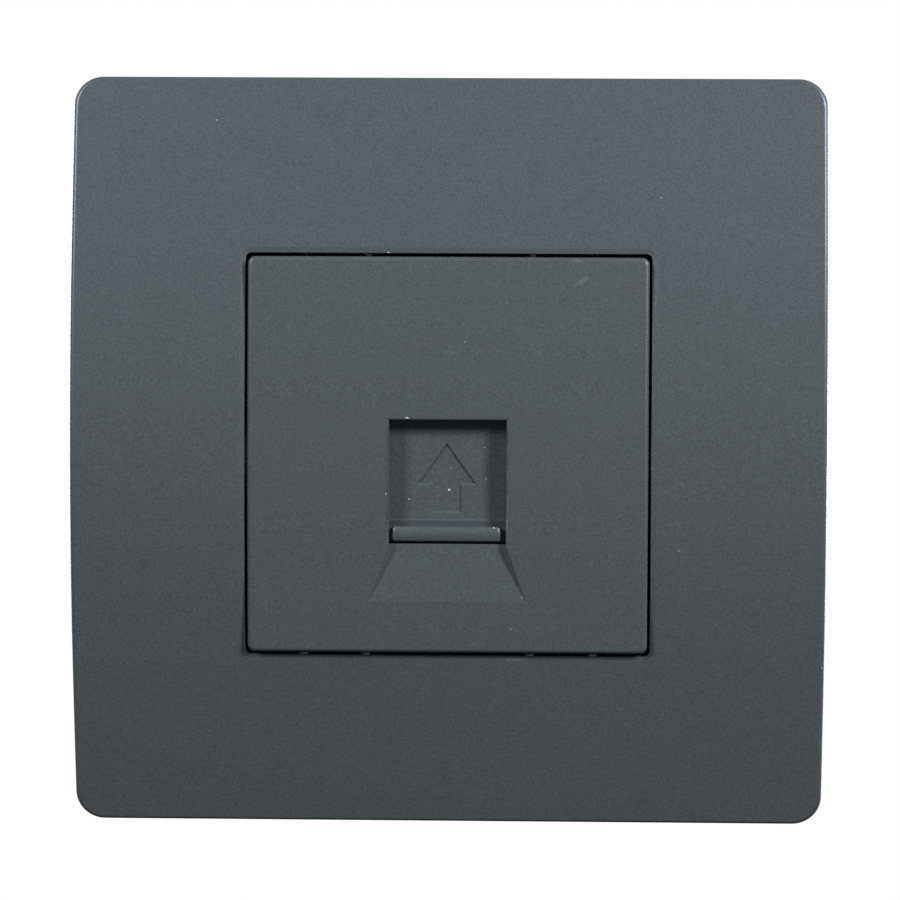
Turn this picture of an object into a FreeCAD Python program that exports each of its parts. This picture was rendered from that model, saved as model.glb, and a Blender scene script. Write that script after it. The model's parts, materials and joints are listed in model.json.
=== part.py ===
import FreeCAD, Part
import math
import os
import re
import Sketcher
from FreeCAD import Rotation, Vector

# Flush data outlet for a square wall box.
# X runs to the right, Z up, and -Y points out of the wall towards the viewer.
# The origin lies on the wall plane, midway between the two fixing slots.
# "Stand" is a distance in front of the wall plane, so a stand of 9.3 is at Y = -9.3.

SIZES = {
    # Cover plate: a shallow shell with a crowned front and a square window in a sloping rim
    "plate_width": 86.0,
    "plate_height": 85.6,
    "plate_corner": 3.3,
    "plate_stand": 11.5,
    "crown_radius": 124.0,
    "crown_half": 24.0,
    "shoulder_radius": 327.0,
    "plate_wall": 2.0,
    "plate_edge": 0.5,
    "window_side_gap": 0.35,
    "window_end_gap": 0.43,
    "window_corner": 0.7,
    "window_land": 0.6,
    "window_dip": 0.11,
    # Snap hooks inside the cover's upper and lower rim, and the pry notch below
    "hook_spread": 22.0,
    "hook_width": 6.0,
    "hook_bite": 1.1,
    "hook_tip": 0.3,
    "hook_nib": 0.9,
    "hook_play": 0.3,
    "pry_width": 8.0,
    "pry_height": 1.2,
    # Mounting frame: ribbed plate on the wall, collar round the insert and a ledge behind it
    "frame_gap": 1.5,
    "frame_corner": 2.6,
    "rim_play": 0.6,
    "rim_height": 1.0,
    "rim_width": 1.6,
    "collar_play": 0.4,
    "collar_wall": 1.6,
    "seat_width": 1.5,
    "rib_width": 1.2,
    "rib_spread": 9.0,
    "side_rib_spread": 14.4,
    "screw_inset": 12.85,
    "slot_length": 7.0,
    "slot_radius": 2.2,
    "pad_margin": 2.4,
    "pad_stand": 3.4,
    "frame_play": 0.25,
    # Insert: crowned square face that carries the works
    "insert_width": 45.5,
    "insert_height": 45.05,
    "insert_corner": 0.8,
    "insert_proud": 0.1,
    "insert_crown": 196.0,
    "insert_wall": 1.5,
    "face_thick": 2.7,
    "insert_skirt": 0.8,
    "insert_edge": 0.45,
    # Snap tongues on the insert's upper and lower walls
    "tongue_spread": 13.0,
    "tongue_width": 6.4,
    "tongue_slit": 0.8,
    "tongue_bite": 0.9,
    "tongue_low": 2.5,
    "tongue_nib": 1.6,
    "tongue_flat": 0.5,
    "root_play": 0.9,
    "snap_play": 0.3,
    # Port opening in the insert, with the finger relief below it
    "port_width": 13.3,
    "port_height": 14.15,
    "port_drop": 10.05,
    "port_edge": 0.25,
    "port_recess": 1.9,
    "relief_length": 6.6,
    "relief_spread": 2.3,
    "relief_step": 1.1,
    "relief_draft": 0.75,
    # Shutter way behind the port, with the running clearances of the shutter
    "slide_play": 0.3,
    "way_play": 0.5,
    "rest_play": 0.2,
    "guide_play": 0.2,
    "way_frame": 1.6,
    # Dust shutter with its grip lip and engraved arrow. It lies a little to the left in its way.
    "shutter_thick": 1.3,
    "side_lap": 0.65,
    "top_lap": 1.5,
    "field_depth": 0.15,
    "valley_height": 0.62,
    "valley_depth": 0.16,
    "lip_play": 0.5,
    "lip_rest": 0.28,
    "lip_foot": 0.13,
    "lip_height": 1.68,
    "lip_reach": 1.3,
    "lip_crown": 1.9,
    "lip_upper_edge": 0.2,
    "lip_lower_edge": 0.3,
    "lip_end_edge": 0.3,
    "arrow_top": 1.45,
    "arrow_barb_low": 3.42,
    "arrow_foot": 6.6,
    "arrow_half": 3.5,
    "stem_half": 1.7,
    "arrow_depth": 0.2,
    "engraved_slope": 45.0,
    "shutter_aside": 0.12,
    "ear_reach": 2.8,
    "ear_height": 2.45,
    "ear_drop": 0.65,
    "pin_play": 0.25,
    "pin_length": 1.6,
    # Return springs of the shutter
    "spring_inset": 1.2,
    "coil_radius": 0.95,
    "wire_radius": 0.15,
    "spring_turns": 17.0,
    "spring_seat": 0.05,
    # Guide plate behind the shutter
    "guide_thick": 1.6,
    "guide_lead": 0.2,
    "guide_margin": 0.3,
    "channel_play": 0.6,
    "ear_ring": 3.9,
    "ring_play": 0.15,
    # Posts on the insert that carry the circuit board
    "post_play": 1.525,
    "post_level": 2.9,
    "post_radius": 2.7,
    "pilot_play": 0.05,
    "pilot_spare": 2.6,
    # Jack housing and its stepped plug cavity
    "jack_wall": 2.25,
    "jack_sill": 1.5,
    "jack_roof": 0.8,
    "jack_back": 1.0,
    "cavity_half": 5.95,
    "cavity_high": 0.9,
    "cavity_low": 6.1,
    "latch_half": 3.1,
    "latch_step": 1.2,
    "key_half": 1.7,
    "key_step": 0.8,
    "tray_side": 1.5,
    "tray_front": 1.0,
    "comb_drop": 1.0,
    "comb_play": 0.07,
    # Contact carrier and the spring wires that it holds
    "carrier_play": 0.15,
    "carrier_sill": 0.5,
    "carrier_nose": 1.4,
    "carrier_roof": 1.0,
    "contact_pitch": 1.02,
    "contact_wide": 0.46,
    "contact_thick": 0.3,
    "contact_bend": 0.55,
    "contact_turn": 0.9,
    "contact_tip": 1.6,
    "row_rise": 1.7,
    "row_step": 1.2,
    "solder_tail": 0.8,
    # Circuit board
    "board_rear_gap": 5.8,
    "board_thick": 1.6,
    "board_margin": 3.5,
    "board_lip": 1.2,
    "board_corner": 1.0,
    "via_play": 0.13,
    "pin_hole_play": 0.15,
    "hole_play": 0.4,
    # Punch-down blocks and their blades
    "block_gap": 1.9,
    "block_depth": 9.5,
    "block_pitch": 4.2,
    "block_end": 1.2,
    "wire_slot": 0.9,
    "mouth_width": 2.6,
    "mouth_depth": 1.7,
    "blade_thick": 0.5,
    "blade_width": 3.0,
    "blade_play": 0.1,
    "blade_foot": 0.6,
    "blade_top": 1.6,
    "blade_lead": 0.8,
    "blade_slit": 0.36,
    "blade_slit_depth": 4.6,
    "blade_pin": 0.6,
    # Board screws
    "screw_head": 2.6,
    "screw_head_height": 1.6,
    "screw_shank": 1.2,
    "screw_length": 8.0,
    "screw_slot": 0.7,
    "screw_cross": 1.5,
    "screw_slot_depth": 0.9,
    "head_play": 0.7,
    # How far a feature is sunk into what it grows from, and how far a cut runs past a face
    "bond": 0.2,
    "overrun": 1.0,
}

CONTACTS = 8
WIRES_PER_BLOCK = 4
NEAR = 0.001

# Places and sizes that follow from the ones above. The cover's inner face above and below
# the window is an arc about the shoulder's centre, so what stands under it ends at that arc.
PLACES = {
    "frame_width": "plate_width - 2 * (plate_wall + frame_gap)",
    "frame_height": "plate_height - 2 * (plate_wall + frame_gap)",
    "hook_arm": "frame_gap - hook_play",
    "hook_ledge": "hook_tip + hook_nib + hook_play",
    "screw_spread": "plate_width / 2 - screw_inset",
    "collar_across": "insert_width / 2 + frame_play + collar_wall",
    "collar_up": "insert_height / 2 + frame_play + collar_wall",
    "shoulder_level": "(crown_radius - shoulder_radius) * crown_half / crown_radius",
    "crown_cosine": "sqrt(1 - (crown_half / crown_radius)^2)",
    "shoulder_centre": "plate_stand - crown_radius + (crown_radius - shoulder_radius) * crown_cosine",
    "inner_shoulder": "shoulder_radius - plate_wall",
    "collar_arc": "sqrt(inner_shoulder^2 - (collar_up - shoulder_level)^2)",
    "rim_arc": "sqrt(inner_shoulder^2 - (frame_height / 2 - shoulder_level)^2)",
    "collar_stand": "shoulder_centre + collar_arc - collar_play",
    "frame_rim": "shoulder_centre + rim_arc - rim_play",
    "insert_stand": "plate_stand + insert_proud",
    "insert_floor": "insert_stand - face_thick",
    "tongue_high": "tongue_low + tongue_nib",
    "tongue_root": "insert_floor - root_play",
    "relief_depth": "port_recess - relief_step",
    "shutter_stand": "insert_stand - port_recess",
    "shutter_half": "port_width / 2 + side_lap",
    "lip_low": "port_drop - lip_rest",
    "lip_stand": "shutter_stand + lip_reach",
    "lip_width": "port_width - 2 * lip_play",
    "shutter_low": "lip_low + lip_foot",
    "shutter_high": "port_height - port_drop + top_lap",
    "field_low": "lip_low - lip_height - valley_height",
    "ear_half": "shutter_half + ear_reach",
    "ear_rear": "shutter_stand - shutter_thick - ear_drop",
    "way_half": "ear_half + way_play",
    "way_low": "shutter_low + rest_play",
    "way_high": "insert_height / 2 - insert_wall - way_frame - guide_play",
    "way_floor": "shutter_stand + slide_play",
    "guide_front": "shutter_stand - shutter_thick - slide_play",
    "guide_rear": "guide_front - guide_thick",
    "channel_floor": "ear_rear - slide_play",
    "pin_radius": "coil_radius - wire_radius - pin_play",
    "spring_spread": "ear_half - spring_inset",
    "spring_stand": "(way_floor + channel_floor) / 2",
    "post_spread": "insert_width / 2 - insert_wall - post_radius - post_play",
    "pilot_radius": "screw_shank + pilot_play",
    "pilot_depth": "screw_length - board_thick + pilot_spare",
    "latch_low": "cavity_low + latch_step",
    "key_low": "latch_low + key_step",
    "lower_row": "cavity_high + row_rise",
    "upper_row": "lower_row + row_step",
    "tray_high": "upper_row + carrier_roof",
    "row_half": f"contact_pitch * {(CONTACTS - 1) / 2} + contact_wide / 2",
    "tray_half": "row_half + tray_side",
    "comb_half": "contact_wide / 2 + comb_play",
    "jack_half": "cavity_half + jack_wall",
    "jack_low": "key_low + jack_sill",
    "jack_high": "tray_high + jack_roof",
    "block_inner": "row_half + block_gap",
    "block_outer": "post_spread - screw_head - head_play",
    "block_width": "block_outer - block_inner",
    "block_spread": "(block_outer + block_inner) / 2",
    "block_length": f"block_pitch * {WIRES_PER_BLOCK - 1} + mouth_width + 2 * block_end",
    "wire_slot_depth": "blade_top + blade_slit_depth",
    "board_half": "post_spread + board_margin",
    "board_height": "block_length + 2 * board_lip",
    "board_rear": "board_rear_gap + board_thick",
}

doc = FreeCAD.newDocument("data_outlet")
sheet = doc.addObject("Spreadsheet::Sheet", "sizes")
for row, (alias, number) in enumerate(SIZES.items(), start=1):
    sheet.set(f"A{row}", alias)
    sheet.set(f"B{row}", str(number))
    sheet.setAlias(f"B{row}", alias)
doc.recompute()
places = doc.addObject("App::VarSet", "places")


def ref(formula):
    """The same formula with each name written as a reference to the sheet or to the places."""
    names = re.compile(r"[a-z]+(_[a-z]+)*")

    def home(found):
        name = found.group(0)
        if name in SIZES:
            return "sizes." + name
        return "places." + name if name in PLACES else name

    return names.sub(home, formula)


for name, formula in PLACES.items():
    places.addProperty("App::PropertyFloat", name, "places")
    places.setExpression(name, ref(formula))
doc.recompute()


def size(name):
    """A size or a place as the document holds it, in millimetres."""
    return float(sheet.get(name)) if name in SIZES else getattr(places, name)


def new_piece(label):
    body = doc.addObject("PartDesign::Body", label)
    body.Label = label
    return body


def draw_on(body, name, role, offset="0"):
    """An empty sketch on one of the body's origin planes, moved along its normal.

    On XZ_Plane the offset is a stand, because that plane's normal is -Y.
    """
    sketch = body.newObject("Sketcher::SketchObject", name)
    planes = [plane for plane in body.Origin.OriginFeatures if plane.Role == role]
    sketch.AttachmentSupport = [(planes[0], "")]
    sketch.MapMode = "FlatFace"
    sketch.setExpression("AttachmentOffset.Base.z", ref(offset))
    return sketch


def hold(sketch, name, formula, *constraint):
    """Adds a named dimension to a sketch and binds it to the sheet."""
    index = sketch.addConstraint(Sketcher.Constraint(*constraint))
    sketch.renameConstraint(index, name)
    sketch.setExpression(f"Constraints.{name}", ref(formula))


def outline(sketch, tag, corners):
    """A closed outline of straight lines, with each corner held by two formulas."""
    first = sketch.GeometryCount
    count = len(corners)
    turns = [2 * math.pi * i / count for i in range(count)]
    ring = [Vector(math.cos(turn), math.sin(turn), 0) for turn in turns]
    lines = [Part.LineSegment(ring[i], ring[(i + 1) % count]) for i in range(count)]
    sketch.addGeometry(lines, False)
    for i, (across, up) in enumerate(corners):
        line = first + i
        after = first + (i + 1) % count
        sketch.addConstraint(Sketcher.Constraint("Coincident", line, 2, after, 1))
        hold(sketch, f"{tag}_x{i}", across, "DistanceX", -1, 1, line, 1, 1.0)
        hold(sketch, f"{tag}_y{i}", up, "DistanceY", -1, 1, line, 1, 1.0)


def rectangle(sketch, tag, left, low, right, high):
    outline(sketch, tag, [(left, low), (right, low), (right, high), (left, high)])


def circle(sketch, tag, across, up, radius):
    centre = Vector(1, 1, 0)
    index = sketch.addGeometry(Part.Circle(centre, Vector(0, 0, 1), 1.0), False)
    hold(sketch, f"{tag}_x", across, "DistanceX", -1, 1, index, 3, 1.0)
    hold(sketch, f"{tag}_y", up, "DistanceY", -1, 1, index, 3, 1.0)
    hold(sketch, f"{tag}_r", radius, "Radius", index, 1.0)


def grow(body, name, sketch, length, along=True):
    """Pads a sketch along its normal, or against it."""
    pad = body.newObject("PartDesign::Pad", name)
    pad.Profile = sketch
    pad.Reversed = not along
    pad.setExpression("Length", ref(length))
    return pad


def carve(body, name, sketch, length, along=True):
    """Cuts a sketch into the body along its normal, or against it."""
    pocket = body.newObject("PartDesign::Pocket", name)
    pocket.Profile = sketch
    pocket.Reversed = along
    pocket.setExpression("Length", ref(length))
    return pocket


def pick_edges(body, wanted):
    """The body so far, with the names of those of its edges for which wanted(edge) is true."""
    doc.recompute()
    names = [f"Edge{i}" for i, edge in enumerate(body.Tip.Shape.Edges, start=1) if wanted(edge)]
    return body.Tip, names


def round_off(body, name, radius, wanted):
    """Rounds the edges of the body that are wanted."""
    edges = pick_edges(body, wanted)
    fillet = body.newObject("PartDesign::Fillet", name)
    fillet.Base = edges
    fillet.setExpression("Radius", ref(radius))
    return fillet


def slope_off(body, name, across, deep, wanted):
    """Cuts the wanted edges back to a slope, so far across the face and so deep into the wall."""
    edges = pick_edges(body, wanted)
    slope = body.newObject("PartDesign::Chamfer", name)
    slope.Base = edges
    slope.ChamferType = "Two distances"
    slope.setExpression("Size", ref(across))
    slope.setExpression("Size2", ref(deep))
    return slope


def near(value, target):
    return abs(value - target) < NEAR


def runs_along(edge, axis):
    """True for a straight edge parallel to one of the axes x, y or z."""
    box = edge.BoundBox
    spans = {"x": box.XLength, "y": box.YLength, "z": box.ZLength}
    longest = spans.pop(axis)
    return longest > NEAR and max(spans.values()) < NEAR


def crown_profile(sketch, half_height, rear, apex, wall):
    """Side view of a crowned shell, drawn on YZ_Plane: a tight arc between two flatter ones."""
    tall = half_height[1]
    radius = size("crown_radius") - wall[1]
    shoulder = size("shoulder_radius") - wall[1]
    turn = math.asin(size("crown_half") / size("crown_radius"))
    front = -apex[1]
    middle = Vector(front + radius, 0, 0)
    upper = middle + Vector(-math.cos(turn), math.sin(turn), 0) * (radius - shoulder)
    end_turn = math.asin((tall - upper.y) / shoulder)
    lower = Vector(upper.x, -upper.y, 0)
    normal = Vector(0, 0, 1)
    edge_front = upper.x - shoulder * math.cos(end_turn)
    back = -rear[1]
    half_circle = math.pi
    geometry = [
        Part.LineSegment(Vector(back, -tall, 0), Vector(back, tall, 0)),
        Part.LineSegment(Vector(back, tall, 0), Vector(edge_front, tall, 0)),
        Part.ArcOfCircle(Part.Circle(upper, normal, shoulder), half_circle - end_turn, half_circle - turn),
        Part.ArcOfCircle(Part.Circle(middle, normal, radius), half_circle - turn, half_circle + turn),
        Part.ArcOfCircle(Part.Circle(lower, normal, shoulder), half_circle + turn, half_circle + end_turn),
        Part.LineSegment(Vector(edge_front, -tall, 0), Vector(back, -tall, 0)),
    ]
    sketch.addGeometry(geometry, False)
    joints = [("Coincident", 0, 2, 1, 1), ("Coincident", 1, 2, 2, 1), ("Tangent", 2, 2, 3, 1)]
    joints += [("Tangent", 3, 2, 4, 1), ("Coincident", 4, 2, 5, 1), ("Coincident", 5, 2, 0, 1)]
    for joint in joints:
        sketch.addConstraint(Sketcher.Constraint(*joint))
    hold(sketch, "back_top", f"-({rear[0]})", "DistanceX", -1, 1, 0, 2, back)
    hold(sketch, "back_low", f"-({rear[0]})", "DistanceX", -1, 1, 0, 1, back)
    hold(sketch, "top", half_height[0], "DistanceY", -1, 1, 0, 2, tall)
    hold(sketch, "low", f"-({half_height[0]})", "DistanceY", -1, 1, 0, 1, -tall)
    hold(sketch, "top_front", half_height[0], "DistanceY", -1, 1, 1, 2, tall)
    hold(sketch, "low_front", f"-({half_height[0]})", "DistanceY", -1, 1, 5, 1, -tall)
    hold(sketch, "middle_level", "0", "DistanceY", -1, 1, 3, 3, 0.0)
    centre_formula = f"crown_radius - {wall[0]} - ({apex[0]})"
    hold(sketch, "middle_centre", centre_formula, "DistanceX", -1, 1, 3, 3, middle.x)
    hold(sketch, "middle_radius", f"crown_radius - {wall[0]}", "Radius", 3, radius)
    half = size("crown_half") * radius / size("crown_radius")
    half_formula = f"crown_half * (crown_radius - {wall[0]}) / crown_radius"
    hold(sketch, "middle_top", half_formula, "DistanceY", -1, 1, 3, 1, half)
    hold(sketch, "middle_low", f"-{half_formula}", "DistanceY", -1, 1, 3, 2, -half)
    hold(sketch, "upper_radius", f"shoulder_radius - {wall[0]}", "Radius", 2, shoulder)
    hold(sketch, "lower_radius", f"shoulder_radius - {wall[0]}", "Radius", 4, shoulder)


# Cover plate

def make_cover_plate():
    cover = new_piece("cover_plate")
    half = size("plate_height") / 2
    profile = draw_on(cover, "cover_profile", "YZ_Plane", "-plate_width / 2")
    crown_profile(profile, ("plate_height / 2", half), ("0", 0.0),
                  ("plate_stand", size("plate_stand")), ("0", 0.0))
    grow(cover, "cover_block", profile, "plate_width")
    round_off(cover, "cover_corners", "plate_corner",
              lambda edge: runs_along(edge, "y") and near(edge.BoundBox.YMax, 0.0))

    def front_outline(edge):
        box = edge.BoundBox
        seam = runs_along(edge, "x") and near(abs(box.ZMax), size("crown_half"))
        return box.YMax < -size("plate_wall") and not runs_along(edge, "y") and not seam

    round_off(cover, "cover_front_edge", "plate_edge", front_outline)

    hollow = draw_on(cover, "cover_hollow_profile", "YZ_Plane", "-(plate_width / 2 - plate_wall)")
    wall = size("plate_wall")
    crown_profile(hollow, ("plate_height / 2 - plate_wall", half - wall), ("0", 0.0),
                  ("plate_stand - plate_wall", size("plate_stand") - wall), ("plate_wall", wall))
    carve(cover, "cover_hollow", hollow, "plate_width - 2 * plate_wall")

    window = draw_on(cover, "cover_window_outline", "XZ_Plane")
    wide = "(insert_width / 2 + window_side_gap)"
    tall = "(insert_height / 2 + window_end_gap)"
    rectangle(window, "window", f"-{wide}", f"-{tall}", wide, tall)
    carve(cover, "cover_window", window, "plate_stand + overrun")
    window_half = size("insert_width") / 2 + size("window_side_gap")
    window_tall = size("insert_height") / 2 + size("window_end_gap")

    def window_corner(edge):
        at_corner = near(abs(edge.BoundBox.XMax), window_half) and near(abs(edge.BoundBox.ZMax), window_tall)
        return runs_along(edge, "y") and at_corner

    round_off(cover, "cover_window_corners", "window_corner", window_corner)

    crown = size("crown_radius")
    rim_stand = size("plate_stand") - crown + math.sqrt(crown ** 2 - window_tall ** 2)

    def window_front(edge):
        box = edge.BoundBox
        inside = max(abs(box.XMin), abs(box.XMax)) < window_half + NEAR
        inside = inside and max(abs(box.ZMin), abs(box.ZMax)) < window_tall + NEAR
        fore = box.YMax < -(rim_stand - wall / 2)
        return inside and fore and not runs_along(edge, "y")

    slope_off(cover, "cover_window_land", "window_land", "window_dip", window_front)

    inner = "(plate_height / 2 - plate_wall)"
    for end, sign in (("upper", ""), ("lower", "-")):
        for side, away in (("left", "-hook_spread"), ("right", "hook_spread")):
            hook = draw_on(cover, f"hook_{end}_{side}_profile", "YZ_Plane", f"{away} - hook_width / 2")
            root = f"{sign}({inner} + bond)"
            arm = f"{sign}({inner} - hook_arm)"
            tip = f"{sign}({inner} - hook_arm - hook_bite)"
            lead = f"{sign}({inner} - hook_arm - hook_bite / 2)"
            fore = "-(frame_rim + rim_play + bond)"
            back = "-hook_tip"
            catch = "-(hook_tip + hook_nib)"
            corners = [(fore, root), (back, root), (back, lead), ("-(hook_tip + hook_nib / 3)", tip),
                       (catch, tip), (catch, arm), (fore, arm)]
            outline(hook, "hook", corners)
            grow(cover, f"hook_{end}_{side}", hook, "hook_width")

    pry = draw_on(cover, "pry_outline", "XZ_Plane")
    low = "-(plate_height / 2)"
    rectangle(pry, "pry", "-pry_width / 2", f"{low} - overrun", "pry_width / 2", f"{low} + plate_wall + bond")
    carve(cover, "pry_notch", pry, "pry_height")
    return cover


# Mounting frame

def slot_outline(sketch, tag, middle, half, radius):
    """A bar with round ends, level with the origin. Each argument is a formula with its number."""
    across, reach, round_end = middle[1], half[1], radius[1]
    left = Vector(across - reach, 0, 0)
    right = Vector(across + reach, 0, 0)
    up = Vector(0, round_end, 0)
    normal = Vector(0, 0, 1)
    quarter = math.pi / 2
    first = sketch.GeometryCount
    sketch.addGeometry([
        Part.LineSegment(left - up, right - up),
        Part.ArcOfCircle(Part.Circle(right, normal, round_end), -quarter, quarter),
        Part.LineSegment(right + up, left + up),
        Part.ArcOfCircle(Part.Circle(left, normal, round_end), quarter, 3 * quarter),
    ], False)
    for line, arc in ((0, 1), (2, 3)):
        sketch.addConstraint(Sketcher.Constraint("Tangent", first + line, 2, first + arc, 1))
        sketch.addConstraint(Sketcher.Constraint("Tangent", first + arc, 2, first + (arc + 1) % 4, 1))
    for end, arc, step, centre in (("right", 1, "+", right), ("left", 3, "-", left)):
        place = f"{middle[0]} {step} {half[0]}"
        hold(sketch, f"{tag}_{end}_x", place, "DistanceX", -1, 1, first + arc, 3, centre.x)
        hold(sketch, f"{tag}_{end}_y", "0", "DistanceY", -1, 1, first + arc, 3, centre.y)
        hold(sketch, f"{tag}_{end}_radius", radius[0], "Radius", first + arc, round_end)


def make_mounting_frame():
    frame = new_piece("mounting_frame")
    plate = draw_on(frame, "frame_outline", "XZ_Plane")
    rectangle(plate, "plate", "-frame_width / 2", "-frame_height / 2", "frame_width / 2", "frame_height / 2")
    grow(frame, "frame_block", plate, "frame_rim")
    round_off(frame, "frame_corners", "frame_corner", lambda edge: runs_along(edge, "y"))

    tray = draw_on(frame, "frame_tray_outline", "XZ_Plane", "frame_rim")
    across = "(frame_width / 2 - rim_width)"
    up = "(frame_height / 2 - rim_width)"
    rectangle(tray, "tray", f"-{across}", f"-{up}", across, up)
    carve(frame, "frame_tray", tray, "rim_height", along=False)

    collar = draw_on(frame, "collar_outline", "XZ_Plane")
    rectangle(collar, "collar", "-collar_across", "-collar_up", "collar_across", "collar_up")
    grow(frame, "collar", collar, "collar_stand")

    ribs = draw_on(frame, "rib_outlines", "XZ_Plane")
    for name, sign in (("left", "-"), ("right", "")):
        for end, low in (("upper", ""), ("lower", "-")):
            middle = f"{sign}rib_spread"
            reach = [f"{low}(collar_up - bond)", f"{low}({up} + bond)"]
            rectangle(ribs, f"{end}_{name}", f"{middle} - rib_width / 2", reach[0],
                      f"{middle} + rib_width / 2", reach[1])
            level = f"{low}side_rib_spread"
            reach = [f"{sign}(collar_across - bond)", f"{sign}({across} + bond)"]
            rectangle(ribs, f"{name}_{end}", reach[0], f"{level} - rib_width / 2",
                      reach[1], f"{level} + rib_width / 2")
    grow(frame, "ribs", ribs, "frame_rim")

    half_slot = ("(slot_length / 2 - slot_radius)", size("slot_length") / 2 - size("slot_radius"))
    slot_radius = ("slot_radius", size("slot_radius"))
    pad_radius = ("(slot_radius + pad_margin)", size("slot_radius") + size("pad_margin"))
    pads = draw_on(frame, "pad_outlines", "XZ_Plane")
    slots = draw_on(frame, "slot_outlines", "XZ_Plane")
    for name, sign in (("left", -1), ("right", 1)):
        middle = (f"{sign} * screw_spread", sign * size("screw_spread"))
        slot_outline(pads, name, middle, half_slot, pad_radius)
        slot_outline(slots, name, middle, half_slot, slot_radius)
    grow(frame, "pads", pads, "pad_stand")

    window = draw_on(frame, "frame_window_outline", "XZ_Plane", "insert_skirt")
    hole_x = "(insert_width / 2 + frame_play)"
    hole_z = "(insert_height / 2 + frame_play)"
    rectangle(window, "window", f"-{hole_x}", f"-{hole_z}", hole_x, hole_z)
    carve(frame, "frame_window", window, "collar_stand")
    throat = draw_on(frame, "frame_throat_outline", "XZ_Plane")
    rectangle(throat, "throat", f"seat_width - {hole_x}", f"seat_width - {hole_z}",
              f"{hole_x} - seat_width", f"{hole_z} - seat_width")
    carve(frame, "frame_throat", throat, "insert_skirt + overrun")

    carve(frame, "fixing_slots", slots, "collar_stand + overrun")

    snaps = draw_on(frame, "snap_pocket_outline", "XZ_Plane", "tongue_low - snap_play")
    notches = draw_on(frame, "hook_notch_outline", "XZ_Plane")
    for name, sign in (("left", "-"), ("right", "")):
        for end, low in (("upper", ""), ("lower", "-")):
            wide = "(tongue_width / 2 + snap_play + bond)"
            rectangle(snaps, f"{end}_{name}", f"{sign}tongue_spread - {wide}", f"{low}({hole_z} - bond)",
                      f"{sign}tongue_spread + {wide}", f"{low}(insert_height / 2 + tongue_bite + snap_play)")
            wide = "(hook_width / 2 + 2 * hook_play)"
            rectangle(notches, f"{end}_{name}", f"{sign}hook_spread - {wide}",
                      f"{low}(frame_height / 2 - 2 * hook_bite)",
                      f"{sign}hook_spread + {wide}", f"{low}(frame_height / 2 + overrun)")
    carve(frame, "snap_pockets", snaps, "tongue_nib + 2 * snap_play")
    carve(frame, "hook_notches", notches, "hook_ledge")
    return frame


# Insert face

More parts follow.
